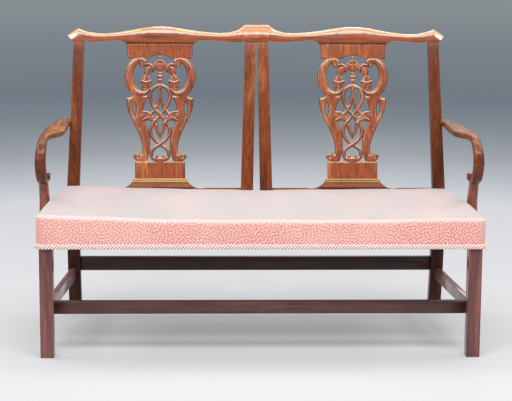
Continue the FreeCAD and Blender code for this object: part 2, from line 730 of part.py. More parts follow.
def arm_shape():
    """Elbow rest from the stile, narrowing to a neck, then a crook that turns down on to the support."""
    stile, support, head = arm_places()
    rest = stile.z
    fall = rest - head.z
    elbow = size("elbow_width") / 2
    thick = size("arm_thickness") / 2
    crook = size("crook_width") / 2
    deep = size("crook_thickness") / 2
    neck = size("neck_width") / 2
    reach = size("crook_reach")
    bow = size("crook_bow")
    run = stile.y - support.y
    out = support.x
    # Each station of the elbow rest: across, along, then its half width
    elbow_rest = [
        (stile.x + 0.1 * elbow, stile.y + 0.1 * elbow, 0.55 * elbow),
        (stile.x + 0.55 * elbow, stile.y - 0.8 * elbow, 0.68 * elbow),
        (out - 0.33 * elbow, support.y + 0.68 * run, 0.88 * elbow),
        (out - 0.18 * elbow, support.y + 0.4 * run, 1.02 * elbow),
        (out - 0.05 * elbow, support.y + 0.22 * run, elbow),
        (out + 0.26 * bow, support.y + 0.12 * run, 0.75 * elbow),
    ]
    # Each station of the crook: shares of its bow, reach and fall, then its half width and thickness
    crook_turn = [
        (0.74, 0.16, 0.01, neck, 1.1 * thick),
        (0.86, 0.66, 0.11, 0.9 * crook, deep),
        (0.97, 0.96, 0.31, crook, deep),
        (1, 1, 0.54, 1.05 * crook, deep),
        (0.95, 0.84, 0.78, 1.05 * crook, deep),
    ]
    # Each station of the landing on the support's head: across and along from it, then how thick
    landing = [(0.1 * bow, -0.21 * reach, 0.9 * deep), (-0.08 * bow, 0.2 * reach, 0.8 * deep)]
    stations = [(Vector(x, y, rest), half_width, thick) for x, y, half_width in elbow_rest]
    for bowed, reached, fallen, half_width, half_depth in crook_turn:
        middle = Vector(out + bowed * bow, support.y - reached * reach, rest - fallen * fall)
        stations.append((middle, half_width, half_depth))
    for x, y, half_depth in landing:
        stations.append((head + Vector(x, y, half_depth), crook, half_depth))
    bend = bent_bar(stations, ARM_SECTIONS, turned)
    roll = 0.92 * deep
    curl = head + Vector(-0.1 * bow - crook, 0.22 * reach, 1.45 * roll)
    scroll = Part.makeCylinder(roll, 2 * crook, curl, Vector(1, 0, 0))
    return bend.fuse(scroll)


def arm_tenon_shape(grow):
    """Stub tenon from the arm's end into the stile's side."""
    stile = arm_places()[0]
    half = size("arm_thickness") / 4 + grow
    deep = size("crest_thickness") / 3 + grow
    start = stile - Vector(size("stub_length") + grow, deep, half)
    return Part.makeBox(size("stub_length") + size("stub_step") + grow, 2 * deep, 2 * half, start)


def dowel_shape(grow):
    """Dowel from the support's top up into the crook."""
    head = arm_places()[2]
    stub = size("stub_length")
    return Part.makeCylinder(size("support_dowel") + grow, 1.8 * stub + grow, head - Vector(0, 0, stub))


def support_shape(grow):
    """Shaped post from the side rail's face up to the crook, with a flared foot."""
    _, support, head = arm_places()
    bottom = number("sizes.rail_bottom + sizes.trim_height + sizes.layer_gap") - grow
    rail_top = number(RAIL_TOP)
    foot = size("support_foot") / 2
    half = size("support_width") / 2
    top = head.z + 0.35 * size("crook_thickness")
    rise = head.z - rail_top
    lean = head - support
    # Each station: height, across and along from the rail's face, then its half sizes
    stations = [
        (bottom, 1.15 * half, 0, 1.25 * half, foot),
        (rail_top, 1.15 * half, 0, 1.2 * half, 0.86 * foot),
        (rail_top + 0.35 * rise, 0.95 * lean.x, 0.12 * lean.y, half, 0.74 * foot),
        (rail_top + 0.7 * rise, lean.x, 0.47 * lean.y, 0.92 * half, 0.68 * foot),
        (top, lean.x, lean.y, 0.85 * half, 0.64 * foot),
    ]
    placed = [
        (Vector(support.x + x, support.y + y, height), half_x + grow, half_y + grow)
        for height, x, y, half_x, half_y in stations
    ]
    return bent_bar(placed, SUPPORT_SECTIONS, upright)


# Crest rail
WAVE_STEPS = 18
BAND_STEPS = 3


def crest_section(x, top, band, roundness):
    """The crest across at a place: flat faces under a top that slopes back, planar or rounded."""
    base = number(CREST_BASE)
    thick = size("crest_thickness")
    ridge = 0.65 * thick
    points = [Vector(x, 0, base)]
    for step in range(BAND_STEPS + 1):
        share = step / BAND_STEPS
        turn = math.radians(90 * share)
        back = across(share, 1 - math.cos(turn), roundness)
        rise = across(share, math.sin(turn), roundness)
        points.append(Vector(x, ridge * back, top - band * (1 - rise)))
    points += [Vector(x, thick, top - size("crest_lip")), Vector(x, thick, base)]
    return Part.makePolygon(points + points[:1])


def crest_shape():
    """Serpentine rail over both chair backs, with a raised middle block and bevelled ears."""
    base = number(CREST_BASE)
    top = number(CREST_TOP)
    hump = base + size("crest_hump")
    dip = base + size("crest_dip")
    inner_dip = base + size("crest_inner_dip")
    end = size("crest_span") / 2
    splat = number(SPLAT_MIDDLE)
    block = size("stile_top_width") + size("stile_gap_top") / 2
    middle_dip = across(block, splat, 0.36)
    outer_dip = across(splat, end, 0.66)
    tip = Vector(end - 0.4 * size("stile_top_width"), 0, base + size("crest_ear"))
    crown = [
        Vector(block, 0, top),
        Vector(across(block, middle_dip, 0.3), 0, across(inner_dip, top, 0.25)),
        Vector(middle_dip, 0, inner_dip),
        Vector(across(middle_dip, splat, 0.5), 0, across(inner_dip, hump, 0.5)),
        Vector(splat, 0, hump),
        Vector(across(splat, outer_dip, 0.5), 0, across(dip, hump, 0.5)),
        Vector(outer_dip, 0, dip),
        tip,
    ]
    wave = smooth(crown)
    sections = [crest_section(0, top, size("crest_band"), 0)]
    for step in range(WAVE_STEPS + 1):
        place = wave.value(across(wave.FirstParameter, wave.LastParameter, step / WAVE_STEPS))
        band = across(size("crest_dip_band"), size("crest_band"), (place.z - dip) / (hump - dip))
        sections.append(crest_section(place.x, place.z, band, min(step, 1)))
    half = Part.makeLoft(sections, True, True).fuse(crest_ear(tip, end))
    half = half.cut([crest_hollow(block, -1), crest_hollow(end - size("stile_top_width"), 1)])
    return half.fuse(half.mirror(Vector(0, 0, 0), Vector(1, 0, 0))).removeSplitter()


def crest_hollow(stile, side):
    """Shallow hollow of the underside between a stile and the splat's flared top."""
    base = number(CREST_BASE)
    deep = size("crest_hollow")
    flare = number(SPLAT_MIDDLE) + side * on_pattern(FLARE[-1][0], 0).x
    shoulder = flare + side * 2.5 * deep
    curve = smooth([
        Vector(stile, 0, base + 0.9 * deep),
        Vector(across(stile, shoulder, 0.45), 0, base + 0.2 * deep),
        Vector(shoulder, 0, base + deep),
        Vector(across(shoulder, flare, 0.55), 0, base + 0.75 * deep),
        Vector(flare, 0, base),
    ])
    outline = chords(curve) + [Vector(flare, 0, base - deep), Vector(stile, 0, base - deep)]
    return outlined(outline).extrude(Vector(0, size("crest_thickness"), 0))


def crest_ear(tip, end):
    """End of the crest past an ear's tip, sloping to its corner, with its front corner cut off flat."""
    base = number(CREST_BASE)
    corner = Vector(end + size("ear_overhang"), 0, across(base, tip.z, 0.5))
    outline = [Vector(tip.x, 0, base), tip, corner, Vector(end, 0, base)]
    ear = outlined(outline).extrude(Vector(0, size("crest_thickness"), 0))
    return ear.cut(ear_bevel(tip, corner))


def ear_bevel(tip, corner):
    """Wedge that takes the front corner off an ear, along its sloping end."""
    bevel = size("ear_bevel")
    slope = (corner - tip).normalize()
    inward = Vector(slope.z, 0, -slope.x)
    start = tip - slope * bevel
    triangle = [
        start - inward - Vector(0, 1, 0),
        start + inward * bevel - Vector(0, 1, 0),
        start - inward + Vector(0, bevel, 0),
    ]
    return outlined(triangle).extrude(slope * ((corner - tip).Length + 2 * bevel))


# Pierced splat, drawn on a squared pattern that starts at the middle of the shoe's top
PATTERN_WIDE = 65.4
PATTERN_TALL = 136.2
FLARE = ((32.7, 131.5), (33.4, 134.4), (36, PATTERN_TALL))


def on_pattern(x, v):
    """A place on the squared pattern, in the splat's own frame."""
    return Vector(x * size("splat_width") / PATTERN_WIDE, 0, v * size("splat_height") / PATTERN_TALL)


def band(points, start_width, middle_width=None, lead_in=()):
    """A strap that follows a curve, swelling from its ends to its middle.

    Points of a lead-in bend the curve's start and are no part of the strap, whose end is then upright.
    """
    middle_width = start_width if middle_width is None else middle_width
    path = smooth([on_pattern(*point) for point in (*lead_in, *points)])
    first = path.parameter(on_pattern(*points[0]))
    marks = [path.parameter(place) for place in chords(path)]
    marks = [first] + [mark for mark in marks if mark > first]
    left = []
    right = []
    for mark in marks:
        share = (mark - first) / (marks[-1] - first)
        along = path.tangent(mark)[0].normalize()
        if lead_in and mark == first:
            along = Vector(math.copysign(1, along.x), 0, 0)
        width = across(start_width, middle_width, math.sin(math.pi * share))
        normal = Vector(-along.z, 0, along.x) * (width / 2)
        left.append(path.value(mark) + normal)
        right.append(path.value(mark) - normal)
    return outlined(left + right[::-1])


def disc(x, v, half_width, half_height=None):
    """A round or oval boss of the pattern, its half sizes in squares."""
    middle = on_pattern(x, v)
    side = Vector(on_pattern(half_width, 0).x, 0, 0)
    up = Vector(0, 0, on_pattern(0, half_width if half_height is None else half_height).z)
    longer, shorter = (side, up) if side.Length > up.Length else (up, side)
    ring = Part.Ellipse(middle + longer, middle + shorter, middle)
    return outlined(chords(ring)[:-1])


def polygon(points):
    return outlined([on_pattern(*point) for point in points])


def side_scroll(side):
    """The broad band at one side, from its shoulder under the C-scroll to its foot on the base."""
    outer = [(34.2, 79.1), (32.9, 67), (26.6, 54.1), (19.6, 39.5), (17.9, 29.5), (20.5, 21), (23, 15)]
    inner = [(17.6, 83.5), (18, 74.5), (16.7, 62.3), (12.6, 47.5), (10.4, 34), (11.6, 24.5), (14, 15)]
    shoulder = (28.6, 84)

    def edge(points):
        return chords(smooth([on_pattern(side * x, v) for x, v in points]))

    return outlined(edge(inner)[::-1] + [on_pattern(side * shoulder[0], shoulder[1])] + edge(outer))


def splat_tablet():
    """Top tablet, flared where it meets the crest, with an arch cut in its lower edge."""
    flare = [on_pattern(*point) for point in FLARE]
    other = [Vector(-point.x, 0, point.z) for point in flare]
    foot = [on_pattern(-32.7, 116.5), on_pattern(32.7, 116.5)]
    edges = [
        Part.Arc(*flare).toShape(),
        Part.Arc(*other).toShape(),
        Part.makeLine(other[2], flare[2]),
        Part.makeLine(foot[0], other[0]),
        Part.makeLine(foot[1], flare[0]),
        Part.makeLine(*foot),
    ]
    return closed_face(edges).cut(disc(0, 113, 14.6, 11)).Faces[0]


def splat_plate():
    """The whole pierced plate, its face on the pattern's plane."""
    strap = size("strap_width")
    depth = Vector(0, size("splat_thickness"), 0)
    pieces = [splat_tablet(), polygon([(-25, 0), (25, 0), (25, 17), (-25, 17)])]
    # Hanging shell with its knob and beads
    pieces += [disc(0, 114.5, 6, 5.5), disc(0, 120.4, 1.9), disc(0, 107.4, 2), disc(0, 102.8, 3)]
    pieces.append(band([(0, 110), (0, 106), (0, 102)], 0.4 * strap))
    for side in (1, -1):
        pieces += splat_half(side, strap)
    solids = [piece.extrude(depth) for piece in pieces]
    slots = [disc(side * 25.4, 69.4, 2, 6).extrude(depth) for side in (1, -1)]
    return solids[0].multiFuse(solids[1:]).cut(slots).removeSplitter()


def splat_half(side, strap):
    """C-scroll, hanging chain, side band and the two interlaced straps that start on one side."""
    def placed(points):
        return [(side * x, v) for x, v in points]

    scroll = [
        (17.5, 116), (24.5, 118), (30.4, 112), (31.8, 103), (29.8, 93), (24, 86.8), (17, 85.8), (13, 89.5),
    ]
    chain = [(4, 113.5), (10.2, 110.4), (14, 103), (14.5, 94)]
    arch = [(-11, 84.9), (-6, 91.6)]
    outer = [
        (0, 93.9), (6, 91.6), (11, 84.9), (9.2, 74.9), (0, 63.3),
        (-10.7, 45.9), (0, 33.7), (9, 26.5), (4, 16),
    ]
    inner = [(0.6, 88), (1.6, 78), (5.4, 68), (17.5, 62.5)]
    inner_return = [(17.5, 60.5), (4.3, 57), (3, 48), (-0.6, 39.5)]
    return [
        band(placed(scroll), 1.5 * strap, 2.2 * strap),
        disc(side * 18.1, 114.9, 3.8),
        disc(side * 14.5, 92.9, 3.8),
        band(placed(chain), strap),
        disc(side * 14.3, 100, 3),
        side_scroll(side),
        disc(side * 22.8, 21.8, 3.6),
        band(placed(outer), strap, lead_in=placed(arch)),
        band(placed(inner), 0.9 * strap),
        band(placed(inner_return), 0.9 * strap),
    ]


def splat_tenon_shape(half_width, v, grow):
    """Stub tenon at the splat's head or foot, half as thick as the splat."""
    thick = size("splat_thickness") / 2 + 2 * grow
    start = Vector(number(SPLAT_MIDDLE) - half_width - grow, 0, v - size("stub_length") - grow)
    start.y = size("splat_set") + (size("splat_thickness") - thick) / 2
    return Part.makeBox(2 * (half_width + grow), thick, 2 * (size("stub_length") + grow), start)


def splat_tenons(grow):
    """Head tenon in the crest and foot tenon in the shoe."""
    head = splat_tenon_shape(on_pattern(28, 0).x, number(CREST_BASE), grow)
    foot = splat_tenon_shape(on_pattern(21, 0).x, size("shoe_height"), grow)
    return head, foot


def splat_shape():
    plate = splat_plate()
    plate.translate(Vector(number(SPLAT_MIDDLE), size("splat_set"), size("shoe_height")))
    return plate.multiFuse(list(splat_tenons(0))).removeSplitter()


def shoe_shape():
    """Moulded shoe under the splat, swept down on both sides to a strip between the stiles."""
    middle = number(SPLAT_MIDDLE)
    top = size("shoe_height")
    strip = size("shoe_strip_height")
    half = size("shoe_width") / 2
    sweep = half + size("shoe_sweep")
    low = -size("stub_length")

    def beside_inner_stile(v):
        return Vector(number(inner_stile_edges(v)[1]), 0, v)

    def beside_outer_stile(v):
        return Vector(number(outer_stile_edges(v)[0]), 0, v)

    step = top - 0.25 * (top - strip)
    edges = [Part.makeLine(Vector(middle - half, 0, top), Vector(middle + half, 0, top))]
    for side, stile in ((-1, beside_inner_stile), (1, beside_outer_stile)):
        bend = Vector(middle + side * (half + 0.28 * size("shoe_sweep")), 0, across(strip, step, 0.26))
        start = Vector(middle + side * half, 0, step)
        end = Vector(middle + side * sweep, 0, strip)
        edges.append(Part.makeLine(Vector(middle + side * half, 0, top), start))
        edges.append(Part.Arc(start, bend, end).toShape())
        edges.append(Part.makeLine(end, stile(strip)))
        edges.append(Part.makeLine(stile(strip), stile(low)))
    edges.append(Part.makeLine(beside_inner_stile(low), beside_outer_stile(low)))
    face = closed_face(edges)
    face.translate(Vector(0, size("shoe_set"), 0))
    block = face.extrude(Vector(0, size("crest_thickness") - size("shoe_set"), 0))
    return block.fuse(shoe_moulding(middle, half)).removeSplitter()


def shoe_moulding(middle, half):
    """Moulding on the shoe's front and ends: a fillet, a hollow below it and a foot spreading to the seat."""
    face = size("shoe_set")
    stand = size("shoe_moulding")
    top = size("shoe_height")
    tall = top - size("shoe_foot")
    # Each level: share of its height, how far it stands out, and how far it spreads
    levels = [
        (1, 0.8, 0.3),
        (0.91, 1, 0.4),
        (0.85, 0.2, 0),
        (0.6, 0.2, 0.3),
        (0.36, 0.55, 1.3),
        (0.15, 1, 2.6),
        (0, 1, 2.9),
    ]
    rings = []
    for share, out, spread in levels:
        reach = half + spread * stand
        front = face - out * stand
        corners = [
            Vector(middle + side * reach, y, top - tall * (1 - share))
            for side, y in ((-1, front), (1, front), (1, 2 * face), (-1, 2 * face))
        ]
        rings.append(Part.makePolygon(corners + corners[:1]))
    return Part.makeLoft(rings, True, True)


# Seat upholstery
STUFFING_BOTTOM = f"({RAIL_TOP} + 2 * sizes.webbing_thickness + sizes.hessian_thickness + sizes.layer_gap)"


def seat_prism(out, rear, bottom, height):
    """Upright prism over the seat frame's plan, so far outside the wood, with rounded front corners."""
    y_front = number(FRONT) - out
    x_front = number(side_line(y_front)) + out
    x_rear = number(side_line(rear)) + out
    corners = [
        Vector(-x_front, y_front, bottom),
        Vector(x_front, y_front, bottom),
        Vector(x_rear, rear, bottom),
        Vector(-x_rear, rear, bottom),
    ]
    prism = outlined(corners).extrude(Vector(0, 0, height))
    front_corners = [
        edge for edge in prism.Edges
        if abs(edge.tangentAt(edge.FirstParameter).z) > 0.9 and edge.CenterOfMass.y < y_front + 1
    ]
    return prism.makeFillet(size("seat_corner") + out, front_corners)


ROLL_STEPS = 3
CROWN_STEPS = 4


def seat_section(y, half, bottom, side_top, roll, top):
    """The seat across at a depth: upright sides, rolled corners and a top that dips in the middle."""
    inside = half - roll
    right = [Vector(half, y, bottom)]
    for step in range(ROLL_STEPS + 1):
        turn = math.radians(90 * step / ROLL_STEPS)
        right.append(Vector(inside + roll * math.cos(turn), y, side_top - roll * (1 - math.sin(turn))))
    for step in range(1, CROWN_STEPS):
        share = 1 - step / CROWN_STEPS
        right.append(Vector(inside * share, y, top - (top - side_top) * share ** 2))
    left = [Vector(-point.x, y, point.z) for point in reversed(right)]
    return Part.makePolygon(right + [Vector(0, y, top)] + left + right[:1])


def seat_form(inset, bottom):
    """The stuffed seat's shape, so far inside its cover: crowned, with rolled front and side edges."""
    out = number(COVER_STAND) - inset
    rear = number(BACK_FOOT) + size("shoe_set") - size("layer_gap") - inset
    front = number(FRONT) - out
    roll = size("seat_roll") - inset
    corner = size("seat_corner") + out
    edge = size("seat_edge")
    back = size("seat_rear")
    swell = size("seat_crown") - (edge + back) / 2

    def section(y, fall):
        share = (y - front) / (rear - front)
        height = across(edge, back, share) + swell * math.sin(math.pi * share)
        top = number(RAIL_TOP) + height - inset - fall
        from_corner = max(front + corner - y, 0)
        rounding = corner - math.sqrt(max(corner ** 2 - from_corner ** 2, 0))
        half = number(side_line(y)) + out - rounding
        return seat_section(y, half, bottom, top + size("seat_side_rise"), roll, top)

    wires = []
    for step in range(ROLL_STEPS):
        turn = math.radians(90 * step / ROLL_STEPS)
        wires.append(section(front + roll * (1 - math.cos(turn)), roll * (1 - math.sin(turn))))
    for step in range(CROWN_STEPS + 1):
        wires.append(section(across(front + roll, rear, step / CROWN_STEPS), 0))
    return Part.makeLoft(wires, True, True)


def seat_shell(inset, thickness, bottom):
    """A cloth layer over the seat and down the rails' faces, open below."""
    return seat_form(inset, bottom).cut(seat_form(inset + thickness, bottom - thickness))


def seat_notches():
    """Room round the stiles and behind the seat frame's top."""
    gap = size("layer_gap")
    rear = number(REAR) - gap
    deep = size("rear_leg_depth")
    tall = 2 * number(RAIL_TOP)
    inside = number(outer_stile_edges("sizes.seat_crown")[0]) - gap
    aside = 4 * size("rear_leg_width")
    stiles = number(inner_stile_edges(0)[1]) + gap
    boxes = [
        Part.makeBox(aside, deep, tall, Vector(inside, rear, 0)),
        Part.makeBox(aside, deep, tall, Vector(-inside - aside, rear, 0)),
        Part.makeBox(2 * stiles, deep, tall, Vector(-stiles, rear, 0)),
        Part.makeBox(2 * inside, deep, number(STUFFING_BOTTOM), Vector(-inside, rear, 0)),
    ]
    return Part.makeCompound(boxes)


def trim_shape():
    """Rope trim round the bottom of the cover, plain in section, from one rear leg to the other."""
    gap = size("layer_gap")
    rear = number(REAR) - gap
    bottom = size("rail_bottom")
    height = size("trim_height")
    outer = seat_prism(number(TRIM_STAND), rear, bottom, height)
    outer_rim = [
        edge for edge in outer.Edges
        if edge.CenterOfMass.y < rear - 1 and abs(edge.tangentAt(edge.FirstParameter).z) < 0.1
    ]
    eased = outer.makeChamfer(0.6 * (size("trim_depth") - gap), outer_rim)
    return eased.cut(seat_form(-gap, bottom - height))


def webs():
    """Webbing on top of the rails: front to back first, then side to side over it."""
    half = "sizes.webbing_width / 2"
    lengthwise = []
    crosswise = []
    margin = "sizes.tenon_inset"
    first = f"({inner_stile_edges(0)[1]} + 0.85 * sizes.webbing_width)"
    room = number(f"({REAR_LEG_INSIDE} - {first} - {half}) / sizes.webbing_pitch")
    for web in range(math.floor(room) + 1):
        middle = f"({first} + {web} * sizes.webbing_pitch)"
        outline = rectangle(
            f"{middle} - {half}", f"{middle} + {half}",
            f"{FRONT} + {margin}", f"{BACK_FOOT} + sizes.shoe_set - sizes.layer_gap",
        )
        strap = slabs(f"cross_web_{web}", (outline, RAIL_TOP, "sizes.webbing_thickness"))
        crosswise += [strap, mirrored(f"cross_web_other_{web}", strap)]
    rows = int(size("webbing_rows"))
    for row in range(rows):
        middle = f"({FRONT} + sizes.seat_depth * {row + 1} / ({rows} + 1))"
        reach = side_line(f"({middle} + {half})", margin)
        outline = rectangle(f"-{reach}", reach, f"{middle} - {half}", f"{middle} + {half}")
        height = f"{RAIL_TOP} + sizes.webbing_thickness"
        lengthwise.append(slabs(f"long_web_{row}", (outline, height, "sizes.webbing_thickness")))
    return grouped("webbing_lengthwise", lengthwise), grouped("webbing_crosswise", crosswise)


def hessian():
    """Base cloth on the webbing, inside the rails' outer edges."""
    face = f"{FRONT} + sizes.tenon_inset"
    back = f"{REAR} - sizes.layer_gap"
    near = side_line(face, "sizes.tenon_inset")
    far = side_line(back, "sizes.tenon_inset")
    outline = [(f"-{near}", face), (near, face), (far, back), (f"-{far}", back)]
    height = f"{RAIL_TOP} + 2 * sizes.webbing_thickness"
    return slabs("base_hessian", (outline, height, "sizes.hessian_thickness"))


# Assembly
screw_places = brace_screw_places()
screws = {name: screw(f"{name}_brace_screw", *place) for name, place in screw_places.items()}
driver_holes = {name: driver_hole(name, *place) for name, place in screw_places.items()}
holders = support_screws()
screw_pairs = {name: (item, mirrored(f"{item.Name}_other", item)) for name, item in screws.items()}
holder_pairs = [(item, mirrored(f"{item.Name}_other", item)) for item in holders]

node_pair("front_leg", front_leg())

leg_blank = rear_leg_blank()
arm_mortise = feature("arm_mortise", arm_tenon_shape(size("joint_fit")))
leg_top = slabs("rear_leg_crest_tenon", crest_tenon(outer_stile_edges), leaning=True)
leg_mortises = [
    slabs("rear_leg_side_mortise", side_rail_tenon("sizes.joint_fit")),
    slabs("rear_leg_rear_mortise", rear_rail_tenon("sizes.joint_fit")),
    slabs("rear_leg_side_stretcher_mortise", side_stretcher_tenon("sizes.joint_fit")),
    slabs("rear_leg_rear_stretcher_mortise", rear_stretcher_tenon("sizes.joint_fit")),
    arm_mortise,
]
leg_tenoned = fused("rear_leg_tenoned", leg_blank, leg_top)
node_pair("rear_leg", cut("rear_leg_right", leg_tenoned, *leg_mortises))

frame_half = f"({side_line(FRONT)} + sizes.front_leg)"
frame_outline = rectangle(f"-{frame_half}", frame_half, FRONT, f"{REAR} + 2 * sizes.rear_leg_depth")
below_rail_top = slabs("below_rail_top", (frame_outline, "0", RAIL_TOP))
node_pair("inner_stile", inner_stile(below_rail_top))

node("front_seat_rail", front_seat_rail(screw_pairs["front"]))
node("rear_seat_rail", rear_seat_rail(screw_pairs["rear"]))
side_blank = side_rail_blank()
node_pair(
    "side_seat_rail",
    cut("side_seat_rail_right", side_blank, screws["front_side"], screws["rear_side"], *holders),
)
node("seat_cross_brace", cross_brace())
for end, brace in (("front", front_brace_blank()), ("rear", rear_brace_blank())):
    used = [group[name] for group in (screws, driver_holes) for name in (end, f"{end}_side")]
    node_pair(f"{end}_corner_brace", cut(f"{end}_corner_brace_right", brace, *used))
brace_screws = [item for pair in screw_pairs.values() for item in pair]
node("corner_brace_screws", grouped("brace_screw_group", brace_screws))
support_screw_items = [item for pair in holder_pairs for item in pair]
node("arm_support_screws", grouped("support_screw_group", support_screw_items))

node_pair("side_stretcher", side_stretcher(leg_blank))
node("front_stretcher", front_stretcher())
node("rear_stretcher", rear_stretcher())

head_tenon, foot_tenon = splat_tenons(size("joint_fit"))
head_mortise = feature("splat_head_mortise", head_tenon, leaning=True)
foot_mortise = feature("splat_foot_mortise", foot_tenon, leaning=True)
crest_mortises = [head_mortise]
for edges in (outer_stile_edges, inner_stile_edges):
    crest_mortises.append(slabs("crest_mortise", crest_tenon(edges, "sizes.joint_fit"), leaning=True))
crest_mortises += [mirrored(f"{item.Name}_other", item) for item in crest_mortises]
crest_blank = feature("crest_blank", crest_shape(), leaning=True)
node("crest_rail", cut("crest_rail", crest_blank, *crest_mortises))
node_pair("splat", feature("splat_right", splat_shape(), leaning=True))
shoe = cut("shoe_standing", feature("shoe_blank", shoe_shape(), leaning=True), below_rail_top)
node_pair("splat_shoe", cut("splat_shoe_right", shoe, foot_mortise))

arm_blank = feature("arm_blank", arm_shape())
arm_butted = cut("arm_butted", arm_blank, leg_blank)
arm_tenoned = fused("arm_tenoned", arm_butted, feature("arm_tenon", arm_tenon_shape(0)))
node_pair("arm", cut("arm_right", arm_tenoned, feature("dowel_hole", dowel_shape(size("joint_fit")))))
support_blank = feature("support_blank", support_shape(0))
support_fitted = cut("support_fitted", support_blank, side_blank, arm_blank)
support_dowelled = fused("support_dowelled", support_fitted, feature("dowel", dowel_shape(0)))
node_pair("arm_support", cut("arm_support_right", support_dowelled, *holders))

webbing_long, webbing_cross = webs()
node("webbing_lengthwise", webbing_long)
node("webbing_crosswise", webbing_cross)
node("base_hessian", hessian())
notches = feature("seat_notches", seat_notches())
support_room = feature("support_room", support_shape(size("layer_gap")))
support_rooms = [support_room, mirrored("support_room_other", support_room)]
calico_inset = size("cover_thickness") + size("layer_gap")
stuffing_inset = calico_inset + size("calico_thickness") + size("layer_gap")
stuffing = feature("stuffing_blank", seat_form(stuffing_inset, size("rail_bottom")))
below_stuffing = slabs("below_stuffing", (frame_outline, "0", STUFFING_BOTTOM))
stuffing_on_web = cut("stuffing_on_web", stuffing, below_stuffing)
calico_hem = number("sizes.rail_bottom + sizes.trim_height")
calico = feature("calico_blank", seat_shell(calico_inset, size("calico_thickness"), calico_hem))
cover = feature("cover_blank", seat_shell(0, size("cover_thickness"), size("rail_bottom")))
node("seat_stuffing", cut("seat_stuffing", stuffing_on_web, notches, *support_rooms))
node("calico_undercover", cut("calico_undercover", calico, notches, *support_rooms, *support_screw_items))
node("seat_cover", cut("seat_cover", cover, notches, *support_rooms, *support_screw_items))
node("rope_trim", feature("rope_trim", trim_shape()))

doc.recompute()

for item in doc.Objects:
    if "Invalid" in item.State or "Error" in item.State:
        raise RuntimeError(f"{item.Label} did not build: {item.State}")
os.makedirs("parts", exist_ok=True)
for item in nodes:
    if item.Shape.isNull() or not item.Shape.isValid() or not item.Shape.Solids:
        raise RuntimeError(f"{item.Label} has no valid solid")
for item in nodes:
    item.Shape.exportStep(f"parts/{item.Label}.step")
    print(item.Label, len(item.Shape.Solids), round(item.Shape.Volume))
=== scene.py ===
"""Looks of a two-chairback settee: carved mahogany, a stuffed-over seat in pink fabric and a rope trim.

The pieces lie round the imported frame, in metres. The back's pieces are drawn in millimetres in its own
leaning plane, where v runs up the back from the top of the rear rail, and are then carried to the frame.
"""
import math

import bpy
import numpy as np
from mathutils import Matrix, Vector


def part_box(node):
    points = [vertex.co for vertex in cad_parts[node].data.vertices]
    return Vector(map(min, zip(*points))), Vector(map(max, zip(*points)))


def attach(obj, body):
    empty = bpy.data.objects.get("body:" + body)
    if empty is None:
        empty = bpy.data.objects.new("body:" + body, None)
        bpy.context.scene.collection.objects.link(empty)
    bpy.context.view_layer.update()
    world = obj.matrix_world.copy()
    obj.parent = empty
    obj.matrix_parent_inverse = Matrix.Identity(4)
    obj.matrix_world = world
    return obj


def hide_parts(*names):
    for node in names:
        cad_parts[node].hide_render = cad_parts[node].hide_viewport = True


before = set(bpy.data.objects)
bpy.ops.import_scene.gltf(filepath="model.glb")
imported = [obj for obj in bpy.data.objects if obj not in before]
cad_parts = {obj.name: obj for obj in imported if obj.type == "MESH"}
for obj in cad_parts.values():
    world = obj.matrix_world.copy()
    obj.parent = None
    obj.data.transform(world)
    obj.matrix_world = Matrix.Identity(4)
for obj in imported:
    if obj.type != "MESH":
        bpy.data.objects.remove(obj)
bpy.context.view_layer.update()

scene = bpy.context.scene
MM = 0.001


